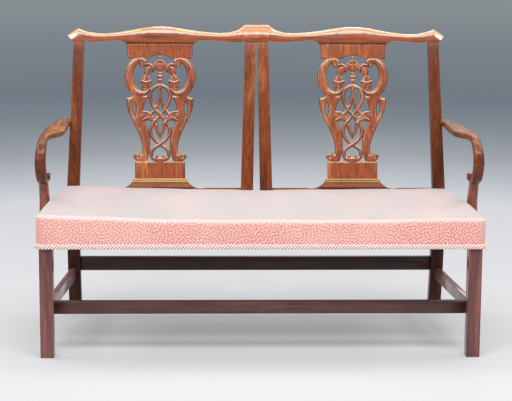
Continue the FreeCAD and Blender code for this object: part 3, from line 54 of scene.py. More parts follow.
# Nodes and materials
class Shader:
    """A material's node tree, with short calls for adding and joining nodes."""

    def __init__(self, name):
        self.material = bpy.data.materials.new(name)
        self.material.use_nodes = True
        self.tree = self.material.node_tree
        self.surface = self.tree.nodes["Principled BSDF"]

    def add(self, kind, settings=None, **inputs):
        node = self.tree.nodes.new(f"ShaderNode{kind}")
        for key, value in (settings or {}).items():
            setattr(node, key, value)
        for key, value in inputs.items():
            self.set(node, key.replace("_", " "), value)
        return node

    def set(self, node, socket, value):
        """Joins an output to a socket, or sets the socket's own value."""
        if isinstance(value, bpy.types.NodeSocket):
            self.tree.links.new(value, node.inputs[socket])
        else:
            node.inputs[socket].default_value = value

    def finish(self, **inputs):
        for key, value in inputs.items():
            self.set(self.surface, key.replace("_", " "), value)
        return self.material

    def ramp(self, value, stops):
        node = self.add("ValToRGB", Fac=value)
        elements = node.color_ramp.elements
        while len(elements) < len(stops):
            elements.new(0.5)
        for element, (place, colour) in zip(elements, stops):
            element.position = place
            element.color = (*colour, 1)
        return node.outputs["Color"]

    def mix(self, share, first, second, blend="MIX"):
        node = self.tree.nodes.new("ShaderNodeMix")
        node.data_type = "RGBA"
        node.blend_type = blend
        for socket, value in ((node.inputs[0], share), (node.inputs[6], first), (node.inputs[7], second)):
            if isinstance(value, bpy.types.NodeSocket):
                self.tree.links.new(value, socket)
            elif isinstance(value, tuple):
                socket.default_value = (*value, 1)
            else:
                socket.default_value = value
        return node.outputs[2]

    def math(self, operation, first, second=None):
        node = self.tree.nodes.new("ShaderNodeMath")
        node.operation = operation
        for socket, value in zip(node.inputs, (first, second)):
            if isinstance(value, bpy.types.NodeSocket):
                self.tree.links.new(value, socket)
            elif value is not None:
                socket.default_value = value
        return node.outputs[0]

    def remap(self, value, low, high, to_low=0.0, to_high=1.0):
        node = self.add("MapRange", Value=value, From_Min=low, From_Max=high, To_Min=to_low, To_Max=to_high)
        return node.outputs["Result"]

    def placed(self, scale):
        """Coordinates of the frame, in metres, stretched."""
        coordinates = self.add("TexCoord").outputs["Object"]
        return self.add("Mapping", Vector=coordinates, Scale=scale).outputs["Vector"]

    def noise(self, vector, scale, detail=2.0, roughness=0.5, distortion=0.0):
        node = self.add("TexNoise", Vector=vector, Scale=scale, Detail=detail, Roughness=roughness)
        self.set(node, "Distortion", distortion)
        return node.outputs["Fac"]

    def threads(self, vector, scale, distortion=0.0):
        """Bands of a weave's two ways."""
        return [
            self.add("TexWave", {"bands_direction": way}, Vector=vector, Scale=scale, Distortion=distortion)
            .outputs["Fac"] for way in "XY"
        ]

    def bump(self, height, distance, strength=1.0, normal=None):
        node = self.add("Bump", Height=height, Distance=distance, Strength=strength)
        if normal:
            self.set(node, "Normal", normal)
        return node.outputs["Normal"]


# Gold of the painted highlight on upper sides
GOLD = (0.82, 0.5, 0.27)


def wood(name, grain, colours, roughness, polish, lower=None, painted_highlight=0.0, shine=0.45):
    """Wood whose grain runs along an axis, with its figure, pores, blotches and carved hollows dark with
    patina and painted shade.

    A lower part has a tint, the two heights between which it comes in, and a gain in gloss; on the rear legs
    and stiles and on the arms' crooks that tint is painted shade. Upper sides get a painted highlight of
    lighter gold.
    """
    def stretched(along, over):
        return shader.placed([along if axis == grain else over for axis in "xyz"])

    shader = Shader(name)
    dark, middle, light = colours
    broad = shader.noise(stretched(1.6, 14), 1.0, 3.0, 0.55, 0.7)
    streak = shader.noise(stretched(7, 150), 1.0, 5.0, 0.6, 0.3)
    pore = shader.noise(stretched(45, 1100), 1.0, 2.0, 0.5)
    blotch = shader.noise(shader.placed((1, 1, 1)), 13.0, 4.0, 0.6)
    colour = shader.ramp(broad, ((0.3, dark), (0.45, middle), (0.55, middle), (0.7, light)))
    colour = shader.mix(shader.remap(streak, 0.42, 0.68, 0.0, 0.75), colour, dark)
    colour = shader.mix(shader.remap(blotch, 0.5, 0.7, 0.0, 0.6), colour, tuple(0.5 * c for c in middle))
    specks = shader.remap(pore, 0.62, 0.7, 0.0, 0.6)
    colour = shader.mix(specks, colour, tuple(0.35 * c for c in dark))
    # Patina and painted shade in the carving's hollows, with painted shade along its edges and rim
    patina_and_shade = shader.add("Attribute", {"attribute_name": "patina_and_shade"}).outputs["Fac"]
    colour = shader.mix(patina_and_shade, colour, tuple(0.22 * c for c in dark))
    # Painted highlight: faces turned upward are lightened towards gold, unevenly along the streaks
    if painted_highlight:
        level = shader.add("SeparateXYZ", Vector=shader.add("TexCoord").outputs["Normal"]).outputs["Z"]
        upward = shader.remap(level, 0.25, 0.9, 0.0, painted_highlight)
        uneven = shader.remap(streak, 0.3, 0.6, 1, 0.6)
        colour = shader.mix(shader.math("MULTIPLY", upward, uneven), colour, GOLD)
    rough = shader.remap(blotch, 0.3, 0.75, roughness - 0.05, roughness + 0.12)
    if lower:
        tint, starts, full, gloss = lower
        height = shader.add("SeparateXYZ", Vector=shader.placed((1, 1, 1))).outputs["Z"]
        below = shader.remap(height, starts, full)
        colour = shader.mix(below, colour, tint, "MULTIPLY")
        rough = shader.math("SUBTRACT", rough, shader.math("MULTIPLY", below, gloss))
    rough = shader.math("ADD", rough, shader.math("MULTIPLY", patina_and_shade, 0.25))
    grain_bump = shader.bump(shader.math("SUBTRACT", streak, specks), 0.00025, 0.5)
    worn = shader.bump(shader.noise(shader.placed((1, 1, 1)), 34.0, 2.0), 0.0012, 0.35, grain_bump)
    return shader.finish(
        Base_Color=colour, Roughness=rough, Normal=worn,
        Coat_Weight=polish, Coat_Roughness=0.1, Specular_IOR_Level=shine,
    )


def toned(colours, share):
    """A wood's three colours, all darker or lighter by a share."""
    return tuple(tuple(share * c for c in colour) for colour in colours)


# A wood's dark, middle and light colours
WARM = ((0.085, 0.016, 0.005), (0.31, 0.07, 0.016), (0.52, 0.165, 0.048))
DEEP = ((0.05, 0.013, 0.011), (0.17, 0.05, 0.043), (0.30, 0.105, 0.088))
GOLDEN = ((0.06, 0.015, 0.003), (0.19, 0.058, 0.009), (0.33, 0.118, 0.02))
# Bright gold of the shoe: a painted highlight on its top, which the cove tint takes down to brown below
SHOE_HIGHLIGHT_GOLD = ((0.4, 0.22, 0.09), (0.62, 0.38, 0.17), (0.75, 0.5, 0.26))
PLAIN = ((0.36, 0.23, 0.13), (0.52, 0.36, 0.22), (0.62, 0.46, 0.3))
# Lower parts: tint, height where it starts, height where it is full, and gain in gloss
# Painted shade on the rear legs and stiles below the seat
SHADE_UNDER_SEAT = ((0.42, 0.4, 0.46), 0.43, 0.37, 0.0)
# The shoe below its painted highlight, tinted down to brown
COVE = ((0.32, 0.175, 0.125), 0.449, 0.4465, 0.0)
# Painted shade darkens and reddens the arms' crooks below their paddles, which also gain gloss
CROOK_SHADE = ((0.8, 0.58, 0.85), 0.655, 0.6, 0.2)
warm = {axis: wood(f"mahogany_{axis}", axis, WARM, 0.28, 0.8, painted_highlight=0.75) for axis in "xz"}
# Painted shade: darker copies of the crest's mahogany for the rear legs with their stiles and for the inner
# stiles
outer_wood = wood("mahogany_outer", "z", toned(WARM, 0.46), 0.36, 0.12, SHADE_UNDER_SEAT, shine=0.18)
inner_wood = wood("mahogany_inner", "z", toned(WARM, 0.68), 0.36, 0.12, SHADE_UNDER_SEAT, shine=0.18)
shoe_wood = wood("mahogany_shoe", "x", SHOE_HIGHLIGHT_GOLD, 0.36, 0.0, COVE, shine=0.1)
arm_wood = wood("mahogany_arm", "y", GOLDEN, 0.42, 0.06, CROOK_SHADE, shine=0.3)
# Painted shade: a darker copy of the crest's mahogany for the arm supports
support_wood = wood("mahogany_support", "z", toned(WARM, 0.75), 0.3, 0.6)
deep = {axis: wood(f"mahogany_dark_{axis}", axis, toned(DEEP, 1.5), 0.3, 0.5) for axis in "yz"}
# Painted shade: darker copies of the legs' wood for the front stretcher and rear rail, darkest on the rear
# stretcher under the seat
dusky = wood("mahogany_dusky_x", "x", toned(DEEP, 0.5), 0.4, 0.3)
dim = wood("mahogany_dim", "x", toned(DEEP, 0.3), 0.45, 0.1)
plain = {axis: wood(f"beech_{axis}", axis, PLAIN, 0.6, 0.0) for axis in "xy"}


def steel():
    """Dull steel with fine scratches and patches of tarnish."""
    shader = Shader("screw_steel")
    scratch = shader.noise(shader.placed((900, 900, 900)), 1.0, 3.0)
    tarnish = shader.noise(shader.placed((1, 1, 1)), 240.0, 3.0)
    colour = shader.mix(shader.remap(tarnish, 0.45, 0.7), (0.42, 0.41, 0.39), (0.16, 0.12, 0.09))
    return shader.finish(
        Base_Color=colour, Metallic=1.0, Roughness=shader.remap(tarnish, 0.3, 0.7, 0.3, 0.6),
        Normal=shader.bump(scratch, 0.0001, 0.4),
    )


def seat_fabric():
    """Pink cloth with a raised vermicelli figure, lighter than its ground, over a fine rib weave."""
    shader = Shader("seat_fabric")
    flat = shader.add("UVMap", {"uv_map": "cloth"}).outputs["UV"]
    drift = shader.add("TexNoise", Vector=flat, Scale=60.0, Detail=1.0).outputs["Color"]
    bent = shader.mix(0.008, flat, drift, "ADD")
    worm = shader.add(
        "TexGabor", {"gabor_type": "2D"}, Vector=bent, Scale=50.0, Frequency=2.1, Anisotropy=0.0)
    figure = shader.remap(worm.outputs["Value"], 0.44, 0.58)
    weave = shader.math("MULTIPLY", *shader.threads(flat, 190.0))
    thread = shader.noise(flat, 900.0, 2.0)
    wear = shader.noise(flat, 7.0, 3.0)
    ground = shader.mix(shader.remap(thread, 0.3, 0.7), (0.62, 0.23, 0.20), (0.70, 0.29, 0.255))
    raised = shader.mix(shader.remap(thread, 0.3, 0.7), (0.81, 0.46, 0.41), (0.88, 0.56, 0.50))
    colour = shader.mix(figure, ground, raised)
    colour = shader.mix(shader.remap(wear, 0.45, 0.75, 0.0, 0.3), colour, (0.9, 0.58, 0.52))
    colour = shader.mix(shader.remap(weave, 0.0, 0.6, 0.18, 0.0), colour, (0.4, 0.1, 0.09))
    # Painted sheen: faces turned upward are painted near-white and uneven, for the sheen and light on the
    # seat's top
    level = shader.add("SeparateXYZ", Vector=shader.add("TexCoord").outputs["Normal"]).outputs["Z"]
    streaks = shader.noise(shader.placed((5, 2, 5)), 1.0, 4.0)
    uneven = shader.remap(streaks, 0.25, 0.6, 0.72, 0.95)
    painted_top_sheen = shader.math("MULTIPLY", shader.remap(level, 0.03, 0.65), uneven)
    painted_sheen_tone = shader.mix(shader.remap(level, 0.25, 0.9), (0.8, 0.69, 0.67), (0.318, 0.294, 0.289))
    colour = shader.mix(painted_top_sheen, colour, painted_sheen_tone)
    fine = shader.bump(shader.math("ADD", weave, shader.math("MULTIPLY", thread, 0.5)), 0.0003, 0.5)
    return shader.finish(
        Base_Color=colour, Roughness=0.82, Normal=shader.bump(figure, 0.0008, 0.7, fine),
        Sheen_Weight=0.45, Sheen_Roughness=0.42, Sheen_Tint=(1.0, 0.97, 0.96, 1), Specular_IOR_Level=0.25,
    )


def rope_cloth():
    """Twisted cord: cream strands, and thinner pink strands that paint the shade between them, with fine
    fibres laid along them.
    """
    shader = Shader("rope_trim")
    along = shader.add("UVMap", {"uv_map": "strand"}).outputs["UV"]
    drawn_out = shader.add("Mapping", Vector=along, Scale=(220, 2600, 1)).outputs["Vector"]
    fibres = shader.noise(drawn_out, 1.0, 3.0)
    soil = shader.noise(shader.placed((1, 1, 1)), 90.0, 2.0)
    strand = shader.add("Attribute", {"attribute_name": "strand_tint"}).outputs["Fac"]
    # Painted shade: the pink strands stand for the shade in the gaps between the cream ones
    colour = shader.mix(strand, (1.0, 0.92, 0.88), (0.52, 0.13, 0.1))
    colour = shader.mix(shader.remap(fibres, 0.4, 0.7, 0.0, 0.4), colour, (0.8, 0.5, 0.43))
    colour = shader.mix(shader.remap(soil, 0.5, 0.8, 0.0, 0.25), colour, (0.62, 0.38, 0.31))
    return shader.finish(
        Base_Color=colour, Roughness=0.75, Normal=shader.bump(fibres, 0.0005, 0.8),
        Sheen_Weight=0.3, Sheen_Roughness=0.5, Specular_IOR_Level=0.3,
    )


def jute(name, colour, pitch):
    """Coarse plain weave of a given thread count to the metre, from the frame's own coordinates."""
    shader = Shader(name)
    weave = shader.math("MAXIMUM", *shader.threads(shader.placed((1, 1, 1)), pitch, 0.6))
    slub = shader.noise(shader.placed((60, 9, 60)), 1.0, 4.0)
    dark = tuple(0.45 * c for c in colour)
    pale = tuple(min(1.35 * c, 1) for c in colour)
    shade = shader.mix(shader.remap(slub, 0.35, 0.7), colour, pale)
    shade = shader.mix(shader.remap(weave, 0.2, 0.8, 0.75, 0.0), shade, dark)
    return shader.finish(
        Base_Color=shade, Roughness=0.95, Normal=shader.bump(weave, 0.0006, 0.8), Specular_IOR_Level=0.15,
    )


# Meshes
WELD_REACH = 1e-5
ARRIS = math.radians(40)
CURVE = math.radians(32)


def new_piece(name, points, faces, material, smooth=True):
    """A piece of the settee in the frame's metres, which rides on its one body."""
    mesh = bpy.data.meshes.new(name)
    mesh.from_pydata([tuple(point) for point in points], [], faces)
    mesh.validate()
    mesh.polygons.foreach_set("use_smooth", [smooth] * len(mesh.polygons))
    mesh.materials.append(material)
    piece = bpy.data.objects.new(name, mesh)
    scene.collection.objects.link(piece)
    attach(piece, "root")
    return piece


def soften(piece, bevel):
    """Joins a CAD node's facets at their edges, eases its arrises and shades its curves."""
    weld = piece.modifiers.new("weld", "WELD")
    weld.merge_threshold = WELD_REACH
    if bevel:
        ease = piece.modifiers.new("ease", "BEVEL")
        ease.width = bevel
        ease.segments = 2
        ease.limit_method = "ANGLE"
        ease.angle_limit = ARRIS
        ease.use_clamp_overlap = True
    shade_curves(piece)


def shade_curves(piece):
    """Shades a piece's curves smoothly and keeps its arrises."""
    shade = piece.modifiers.new("shade", "NODES")
    shade.node_group = SMOOTH_BY_ANGLE


def mark_points(piece, name, values):
    """Gives each point of a piece a number that its material reads."""
    marks = piece.data.attributes.new(name, "FLOAT", "POINT")
    marks.data.foreach_set("value", np.array(values, np.float32))


def lay_flat(piece, name, places):
    """Gives a piece a UV map from one flat place for each of its points."""
    layer = piece.data.uv_layers.new(name=name)
    corners = np.zeros(len(piece.data.loops), int)
    piece.data.loops.foreach_get("vertex_index", corners)
    layer.data.foreach_set("uv", np.asarray(places, np.float32)[corners].ravel())


def smooth_by_angle(limit):
    """A node group that shades a mesh smooth but for edges sharper than a limit."""
    group = bpy.data.node_groups.new("smooth_by_angle", "GeometryNodeTree")
    group.interface.new_socket("Geometry", in_out="INPUT", socket_type="NodeSocketGeometry")
    group.interface.new_socket("Geometry", in_out="OUTPUT", socket_type="NodeSocketGeometry")
    enter = group.nodes.new("NodeGroupInput")
    leave = group.nodes.new("NodeGroupOutput")
    faces = group.nodes.new("GeometryNodeSetShadeSmooth")
    faces.domain = "FACE"
    edges = group.nodes.new("GeometryNodeSetShadeSmooth")
    edges.domain = "EDGE"
    edges.inputs["Shade Smooth"].default_value = False
    angle = group.nodes.new("GeometryNodeInputMeshEdgeAngle")
    sharp = group.nodes.new("FunctionNodeCompare")
    sharp.operation = "GREATER_THAN"
    sharp.inputs[1].default_value = limit
    group.links.new(enter.outputs[0], faces.inputs["Geometry"])
    group.links.new(faces.outputs[0], edges.inputs["Geometry"])
    group.links.new(angle.outputs["Unsigned Angle"], sharp.inputs[0])
    group.links.new(sharp.outputs[0], edges.inputs["Selection"])
    group.links.new(edges.outputs[0], leave.inputs[0])
    return group


SMOOTH_BY_ANGLE = smooth_by_angle(CURVE)


def spline(points, count):
    """Points of a natural cubic through the given ones, evenly spaced along their added chords."""
    points = np.asarray(points, float)
    chords = np.linalg.norm(np.diff(points, axis=0), axis=1)
    marks = np.concatenate(([0], np.cumsum(chords)))
    size = len(points)
    system = np.eye(size)
    right = np.zeros_like(points)
    for i in range(1, size - 1):
        system[i, i - 1] = chords[i - 1]
        system[i, i] = 2 * (chords[i - 1] + chords[i])
        system[i, i + 1] = chords[i]
        ahead = (points[i + 1] - points[i]) / chords[i]
        behind = (points[i] - points[i - 1]) / chords[i - 1]
        right[i] = 6 * (ahead - behind)
    bend = np.linalg.solve(system, right)
    at = np.linspace(0, marks[-1], count)
    span = np.clip(np.searchsorted(marks, at, side="right") - 1, 0, size - 2)
    h = chords[span][:, None]
    a = (marks[span + 1] - at)[:, None]
    b = (at - marks[span])[:, None]
    low, high = bend[span], bend[span + 1]
    return (
        (low * a ** 3 + high * b ** 3) / (6 * h)
        + (points[span] / h - low * h / 6) * a + (points[span + 1] / h - high * h / 6) * b
    )


def box_mm(node):
    """A CAD node's lowest and highest corner, in millimetres."""
    low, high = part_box(node)
    return np.array(low) / MM, np.array(high) / MM


# Places of the seat's frame, in millimetres
leg_low, leg_high = box_mm("front_leg_right")
stile_low, stile_high = box_mm("rear_leg_right")
rail_low, rail_high = box_mm("front_seat_rail")
FRONT = rail_low[1]
REAR = stile_low[1]
FRONT_HALF = leg_high[0]
REAR_HALF = stile_high[0]
FRONT_LEG = leg_high[0] - leg_low[0]
RAIL_BOTTOM = rail_low[2]
RAIL_TOP = rail_high[2]

# Places of the leaning back, in millimetres
splat_low, splat_high = box_mm("splat_right")
STILE_SET = 12.0
BACK_FOOT = REAR + STILE_SET
BACK_RAKE = math.radians(9.3)
SHOE_HEIGHT = 66.0
SPLAT_HEIGHT = 445.0
SPLAT_SET = 7.0
SPLAT_THICKNESS = 11.0
SPLAT_WIDTH = 214.0
SPLAT_MIDDLE = (splat_low[0] + splat_high[0]) / 2


def on_back(x, deep, v):
    """Points of the leaning back in the frame's metres."""
    y = BACK_FOOT + deep * math.cos(BACK_RAKE) + v * math.sin(BACK_RAKE)
    z = RAIL_TOP - deep * math.sin(BACK_RAKE) + v * math.cos(BACK_RAKE)
    return np.stack(np.broadcast_arrays(x, y, z), axis=-1) * MM


# Carved splat: heights over a squared pattern, cut on a finer grid
PATTERN_COLUMNS = 65.4
PATTERN_ROWS = 136.2
SQUARE_X = SPLAT_WIDTH / PATTERN_COLUMNS
SQUARE_V = SPLAT_HEIGHT / PATTERN_ROWS
GRID = 1.1
GRID_HALF = 126.5
OUTSIDE = -9.0
NOTHING = -20.0
EMPTY_BELOW = -15.0
NEAR_WOOD = 2.2 * GRID
DEEPEST = 5.5
STRAP = 11.6
RIBBON_STEPS = 160
# Powers of the rounding of straps and bosses, and how far past their edge it runs
STRAP_POWER = 2.4
BOSS_POWER = 2.2
PAST_EDGE = 1.15
# A strap's groove, in its half widths, and a crossing's reach as a share of its length
GROOVE_MIDDLE = 0.62
GROOVE_HALF = 0.13
CROSSING_REACH = 0.055
# Incised lines of a plate
LINE_DEPTH = 1.5
LINE_HALF = 0.9
# Dark tones of patina and painted shade: the hollows' depths and their reaches with shares, the band along
# an edge and the rim
HOLLOW_STARTS = 0.25
HOLLOW_SPAN = 1.3
HOLLOWS = ((2, 1.1), (5, 0.8))
EDGE_DARK = 0.75
EDGE_BAND = 2.8
RIM_DARK = 0.6
RIM_HOLLOW = 0.3


class Carving:
    """Heights of carved work over a grid: how far inside the wood a point is, and how proud it stands."""

    def __init__(self):
        self.x = np.arange(-GRID_HALF, GRID_HALF + 0.1, GRID)
        self.v = np.arange(0, SPLAT_HEIGHT + GRID / 2, SPLAT_HEIGHT / round(SPLAT_HEIGHT / GRID))
        self.inside = np.full((len(self.v), len(self.x)), OUTSIDE)
        self.height = np.full(self.inside.shape, NOTHING)

    def window(self, points, margin):
        """The part of the grid round some points, as slices and its two coordinates."""
        low = points.min(axis=0) - margin
        high = points.max(axis=0) + margin
        cols = slice(*np.searchsorted(self.x, (low[0], high[0])))
        rows = slice(*np.searchsorted(self.v, (low[1], high[1])))
        x, v = np.meshgrid(self.x[cols], self.v[rows])
        return (rows, cols), x, v

    def lay(self, part, inside, height):
        """Adds a form where it stands above what is there."""
        near = inside > -NEAR_WOOD
        self.inside[part] = np.maximum(self.inside[part], inside)
        self.height[part] = np.where(near, np.maximum(self.height[part], height), self.height[part])

    def ribbon(self, squares, widths, top=0.0, bulge=3.0, crossings=(), groove=0.0):
        """A rounded strap along a curve; crossings lift or sink it at shares of its length."""
        points = np.asarray(squares, float) * (SQUARE_X, SQUARE_V)
        path = spline(points, RIBBON_STEPS)
        half = np.interp(np.linspace(0, 1, RIBBON_STEPS), np.linspace(0, 1, len(widths)), widths) / 2
        part, x, v = self.window(path, half.max() + 4)
        gap = np.hypot(x[..., None] - path[:, 0], v[..., None] - path[:, 1])
        nearest = gap.argmin(axis=-1)
        off = np.take_along_axis(gap, nearest[..., None], axis=-1)[..., 0]
        across = off / half[nearest]
        share = nearest / (RIBBON_STEPS - 1)
        height = top - bulge * np.clip(across, 0, PAST_EDGE) ** STRAP_POWER
        height -= groove * np.exp(-((across - GROOVE_MIDDLE) / GROOVE_HALF) ** 2)
        for place, lift in crossings:
            height += lift * np.exp(-((share - place) / CROSSING_REACH) ** 2)
        self.lay(part, half[nearest] - off, height)

    def groove(self, squares, width, deep):
        """A line cut into what is already there."""
        path = spline(np.asarray(squares, float) * (SQUARE_X, SQUARE_V), 60)
        part, x, v = self.window(path, 3 * width)
        off = np.hypot(x[..., None] - path[:, 0], v[..., None] - path[:, 1]).min(axis=-1)
        self.height[part] -= deep * np.exp(-(off / width) ** 2)

    def dome(self, x, v, half_x, half_v, top, bulge):
        """A round or oval boss."""
        middle = np.array([[x * SQUARE_X, v * SQUARE_V]])
        reach = np.array([half_x * SQUARE_X, half_v * SQUARE_V])
        part, gx, gv = self.window(middle, reach.max() * 1.3 + 4)
        share = np.hypot((gx - middle[0, 0]) / reach[0], (gv - middle[0, 1]) / reach[1])
        height = top - bulge * np.clip(share, 0, PAST_EDGE) ** BOSS_POWER
        self.lay(part, (1 - share) * reach.min(), height)

    def volute(self, x, v, radius, turn, start, turns=1.6):
        """A scroll's eye: a sunk disc with a raised spiral and a button."""
        self.dome(x, v, radius, radius, -4.6, 0.8)
        steps = np.linspace(0, 1, 40)
        angle = start + turn * steps * turns * 2 * math.pi
        out = radius * (0.8 - 0.6 * steps)
        spiral = np.stack((x + out * np.cos(angle), v + out * np.sin(angle)), axis=1)
        self.ribbon(spiral[::3], (0.38 * radius * SQUARE_X, 0.26 * radius * SQUARE_X), 0.6, 2.6)
        self.dome(x, v, 0.26 * radius, 0.26 * radius, 0.8, 2.0)

    def plate(self, outline, top, edge, fall, hole=None, lines=()):
        """A flat form with eased edges, a hole and incised lines at set heights of the pattern."""
        points = np.asarray(outline, float) * (SQUARE_X, SQUARE_V)
        part, x, v = self.window(points, 4)
        ring = np.concatenate((points, points[:1]))
        odd = np.zeros(x.shape, bool)
        gap = np.full(x.shape, 1e9)
        for (ax, av), (bx, bv) in zip(ring, ring[1:]):
            if av != bv:
                cross = (av > v) != (bv > v)
                odd ^= cross & (x < ax + (v - av) * (bx - ax) / (bv - av))
            length = (bx - ax) ** 2 + (bv - av) ** 2
            share = np.clip(((x - ax) * (bx - ax) + (v - av) * (bv - av)) / length, 0, 1)
            gap = np.minimum(gap, np.hypot(x - ax - share * (bx - ax), v - av - share * (bv - av)))
        inside = np.where(odd, gap, -gap)
        if hole is not None:
            hx, hv, half_x, half_v = np.array(hole) * (SQUARE_X, SQUARE_V, SQUARE_X, SQUARE_V)
            out = (np.hypot((x - hx) / half_x, (v - hv) / half_v) - 1) * min(half_x, half_v)
            inside = np.minimum(inside, out)
        height = top - fall * (1 - np.clip(inside / edge, 0, 1)) ** 2
        for line in lines:
            height -= LINE_DEPTH * np.exp(-((v - line * SQUARE_V) / LINE_HALF) ** 2)
        self.lay(part, inside, height)

    def hollows(self, reach):
        """How far each point lies below the mean of its neighbourhood, from 0 to 1."""
        wood_there = (self.inside > 0).astype(float)
        level = np.where(wood_there > 0, self.height, 0)
        total, count = level.copy(), wood_there.copy()
        for axis in (0, 1):
            total = sum(np.roll(total, step, axis) for step in range(-reach, reach + 1))
            count = sum(np.roll(count, step, axis) for step in range(-reach, reach + 1))
        depth = total / np.maximum(count, 1) - self.height
        return np.clip((depth - HOLLOW_STARTS) / HOLLOW_SPAN, 0, 1)

    def mesh(self, back):
        """Points, faces and marks of patina and painted shade of the carved plate: its front, its flat back
        and the walls between.
        """
        rows, cols = self.inside.shape
        patina_and_shade = np.clip(sum(share * self.hollows(reach) for reach, share in HOLLOWS), 0, 1)
        inside = self.inside > 0
        x, v = np.meshgrid(self.x, self.v)
        index = np.full(inside.shape, -1)
        grid_count = inside.sum()
        index[inside] = np.arange(grid_count)
        points = [*zip(x[inside], -self.height[inside], v[inside])]
        # Painted shade in a band along the carving's edges, joined with the patina and painted shade of its
        # hollows
        edge = EDGE_DARK * (1 - np.clip(self.inside / EDGE_BAND, 0, 1))
        dark = [*np.maximum(patina_and_shade, edge)[inside]]
        crossing = {}

        def cut(a, b):
            """The point where an edge of the grid leaves the wood."""
            key = (min(a, b), max(a, b))
            if key not in crossing:
                share = self.inside[a] / (self.inside[a] - self.inside[b])
                near, far = (a, b) if inside[a] else (b, a)
                level = self.height[near] if self.height[far] < EMPTY_BELOW else self.height[far]
                crossing[key] = len(points)
                points.append((
                    x[a] + (x[b] - x[a]) * share, -max(level, -DEEPEST), v[a] + (v[b] - v[a]) * share))
                # Painted shade at the rim, deepened by the patina and painted shade of the hollow beside it
                dark.append(RIM_DARK + RIM_HOLLOW * patina_and_shade[near])
            return crossing[key]

        faces = []
        rim = []
        whole = inside[:-1, :-1] & inside[:-1, 1:] & inside[1:, 1:] & inside[1:, :-1]
        for r, c in zip(*np.nonzero(whole)):
            faces.append((index[r, c], index[r, c + 1], index[r + 1, c + 1], index[r + 1, c]))
        some = inside[:-1, :-1] | inside[:-1, 1:] | inside[1:, 1:] | inside[1:, :-1]
        for r, c in zip(*np.nonzero(some & ~whole)):
            corners = ((r, c), (r, c + 1), (r + 1, c + 1), (r + 1, c))
            ring = []
            for here, after in zip(corners, corners[1:] + corners[:1]):
                if inside[here]:
                    ring.append(index[here])
                if inside[here] != inside[after]:
                    ring.append(cut(here, after))
            faces.append(tuple(ring))
            for first, second in zip(ring, ring[1:] + ring[:1]):
                if first >= grid_count and second >= grid_count:
                    rim.append((first, second))
        bottom = [c for c in range(cols - 1) if inside[0, c] and inside[0, c + 1]]
        top = [c for c in range(cols - 1) if inside[-1, c] and inside[-1, c + 1]]
        rim += [(index[0, c], index[0, c + 1]) for c in bottom]
        rim += [(index[rows - 1, c + 1], index[rows - 1, c]) for c in top]
        count = len(points)
        points += [(px, back, pv) for px, _, pv in points]
        dark += [0.0] * count
        faces += [tuple(i + count for i in reversed(face)) for face in faces]
        faces += [(second, first, first + count, second + count) for first, second in rim]
        return np.array(points), faces, dark


def carve_splat():
    """The pattern of a splat: tablet, C-scrolls, canopy and chains, interlaced straps and side bands."""
    carving = Carving()
    flare = [(32.4, 131.5), (32.6, 133.2), (33.4, 134.6), (34.6, 135.7), (36.4, 136.6)]
    tablet = [(-32.4, 120), (32.4, 120), *flare, *[(-x, v) for x, v in reversed(flare)]]
    carving.plate(tablet, -0.8, 4, 1.8, hole=(0, 113, 14, 10.6), lines=(134.4,))
    carving.plate([(-25, -0.5), (25, -0.5), (25, 17), (-25, 17)], -0.8, 3, 1.6)
    for side in (1, -1):
        carve_side(carving, side)
        carve_straps(carving, side)
    carve_canopy(carving)
    boat_foot = [(-7.4, 21.2), (-4, 19.2), (0, 18.9), (4, 19.2), (7.4, 21.2)]
    carving.ribbon(boat_foot, (8, 15, 20, 15, 8), 0.8, 3.2)
    return carving


def carve_canopy(carving):
    """Tent-shaped leaf over the middle, with a knob above it and beads down to the ring."""
    carving.ribbon([(0, 110), (0, 104), (0, 98), (0, 93)], (0.5 * STRAP, 0.45 * STRAP), -1.5, 2)
    carving.dome(0, 112.6, 6.4, 5.2, 0.2, 3.4)
    for side in (1, -1):
        carving.ribbon(
            [(0, 114.6), (side * 3.6, 113), (side * 7.2, 110.4)], (15, 20, 10), 0.6, 3.0, groove=1.2)
        carving.ribbon([(side * 0.6, 118.6), (side * 3.6, 116), (side * 7.6, 112)], (5, 7, 4), 2.2, 2.6)
    carving.ribbon([(0, 118.8), (0, 115), (0, 111), (0, 107.4)], (6, 16, 19, 5), 1.6, 3.6, groove=1.2)
    carving.dome(0, 121, 1.7, 1.6, 0.2, 2.4)
    carving.dome(0, 105.2, 2.2, 1.4, 0.6, 2.4)
    carving.dome(0, 102, 3.2, 2.3, 1.6, 3.4)
    carving.dome(0, 98.4, 2.5, 1.8, 0.8, 2.6)


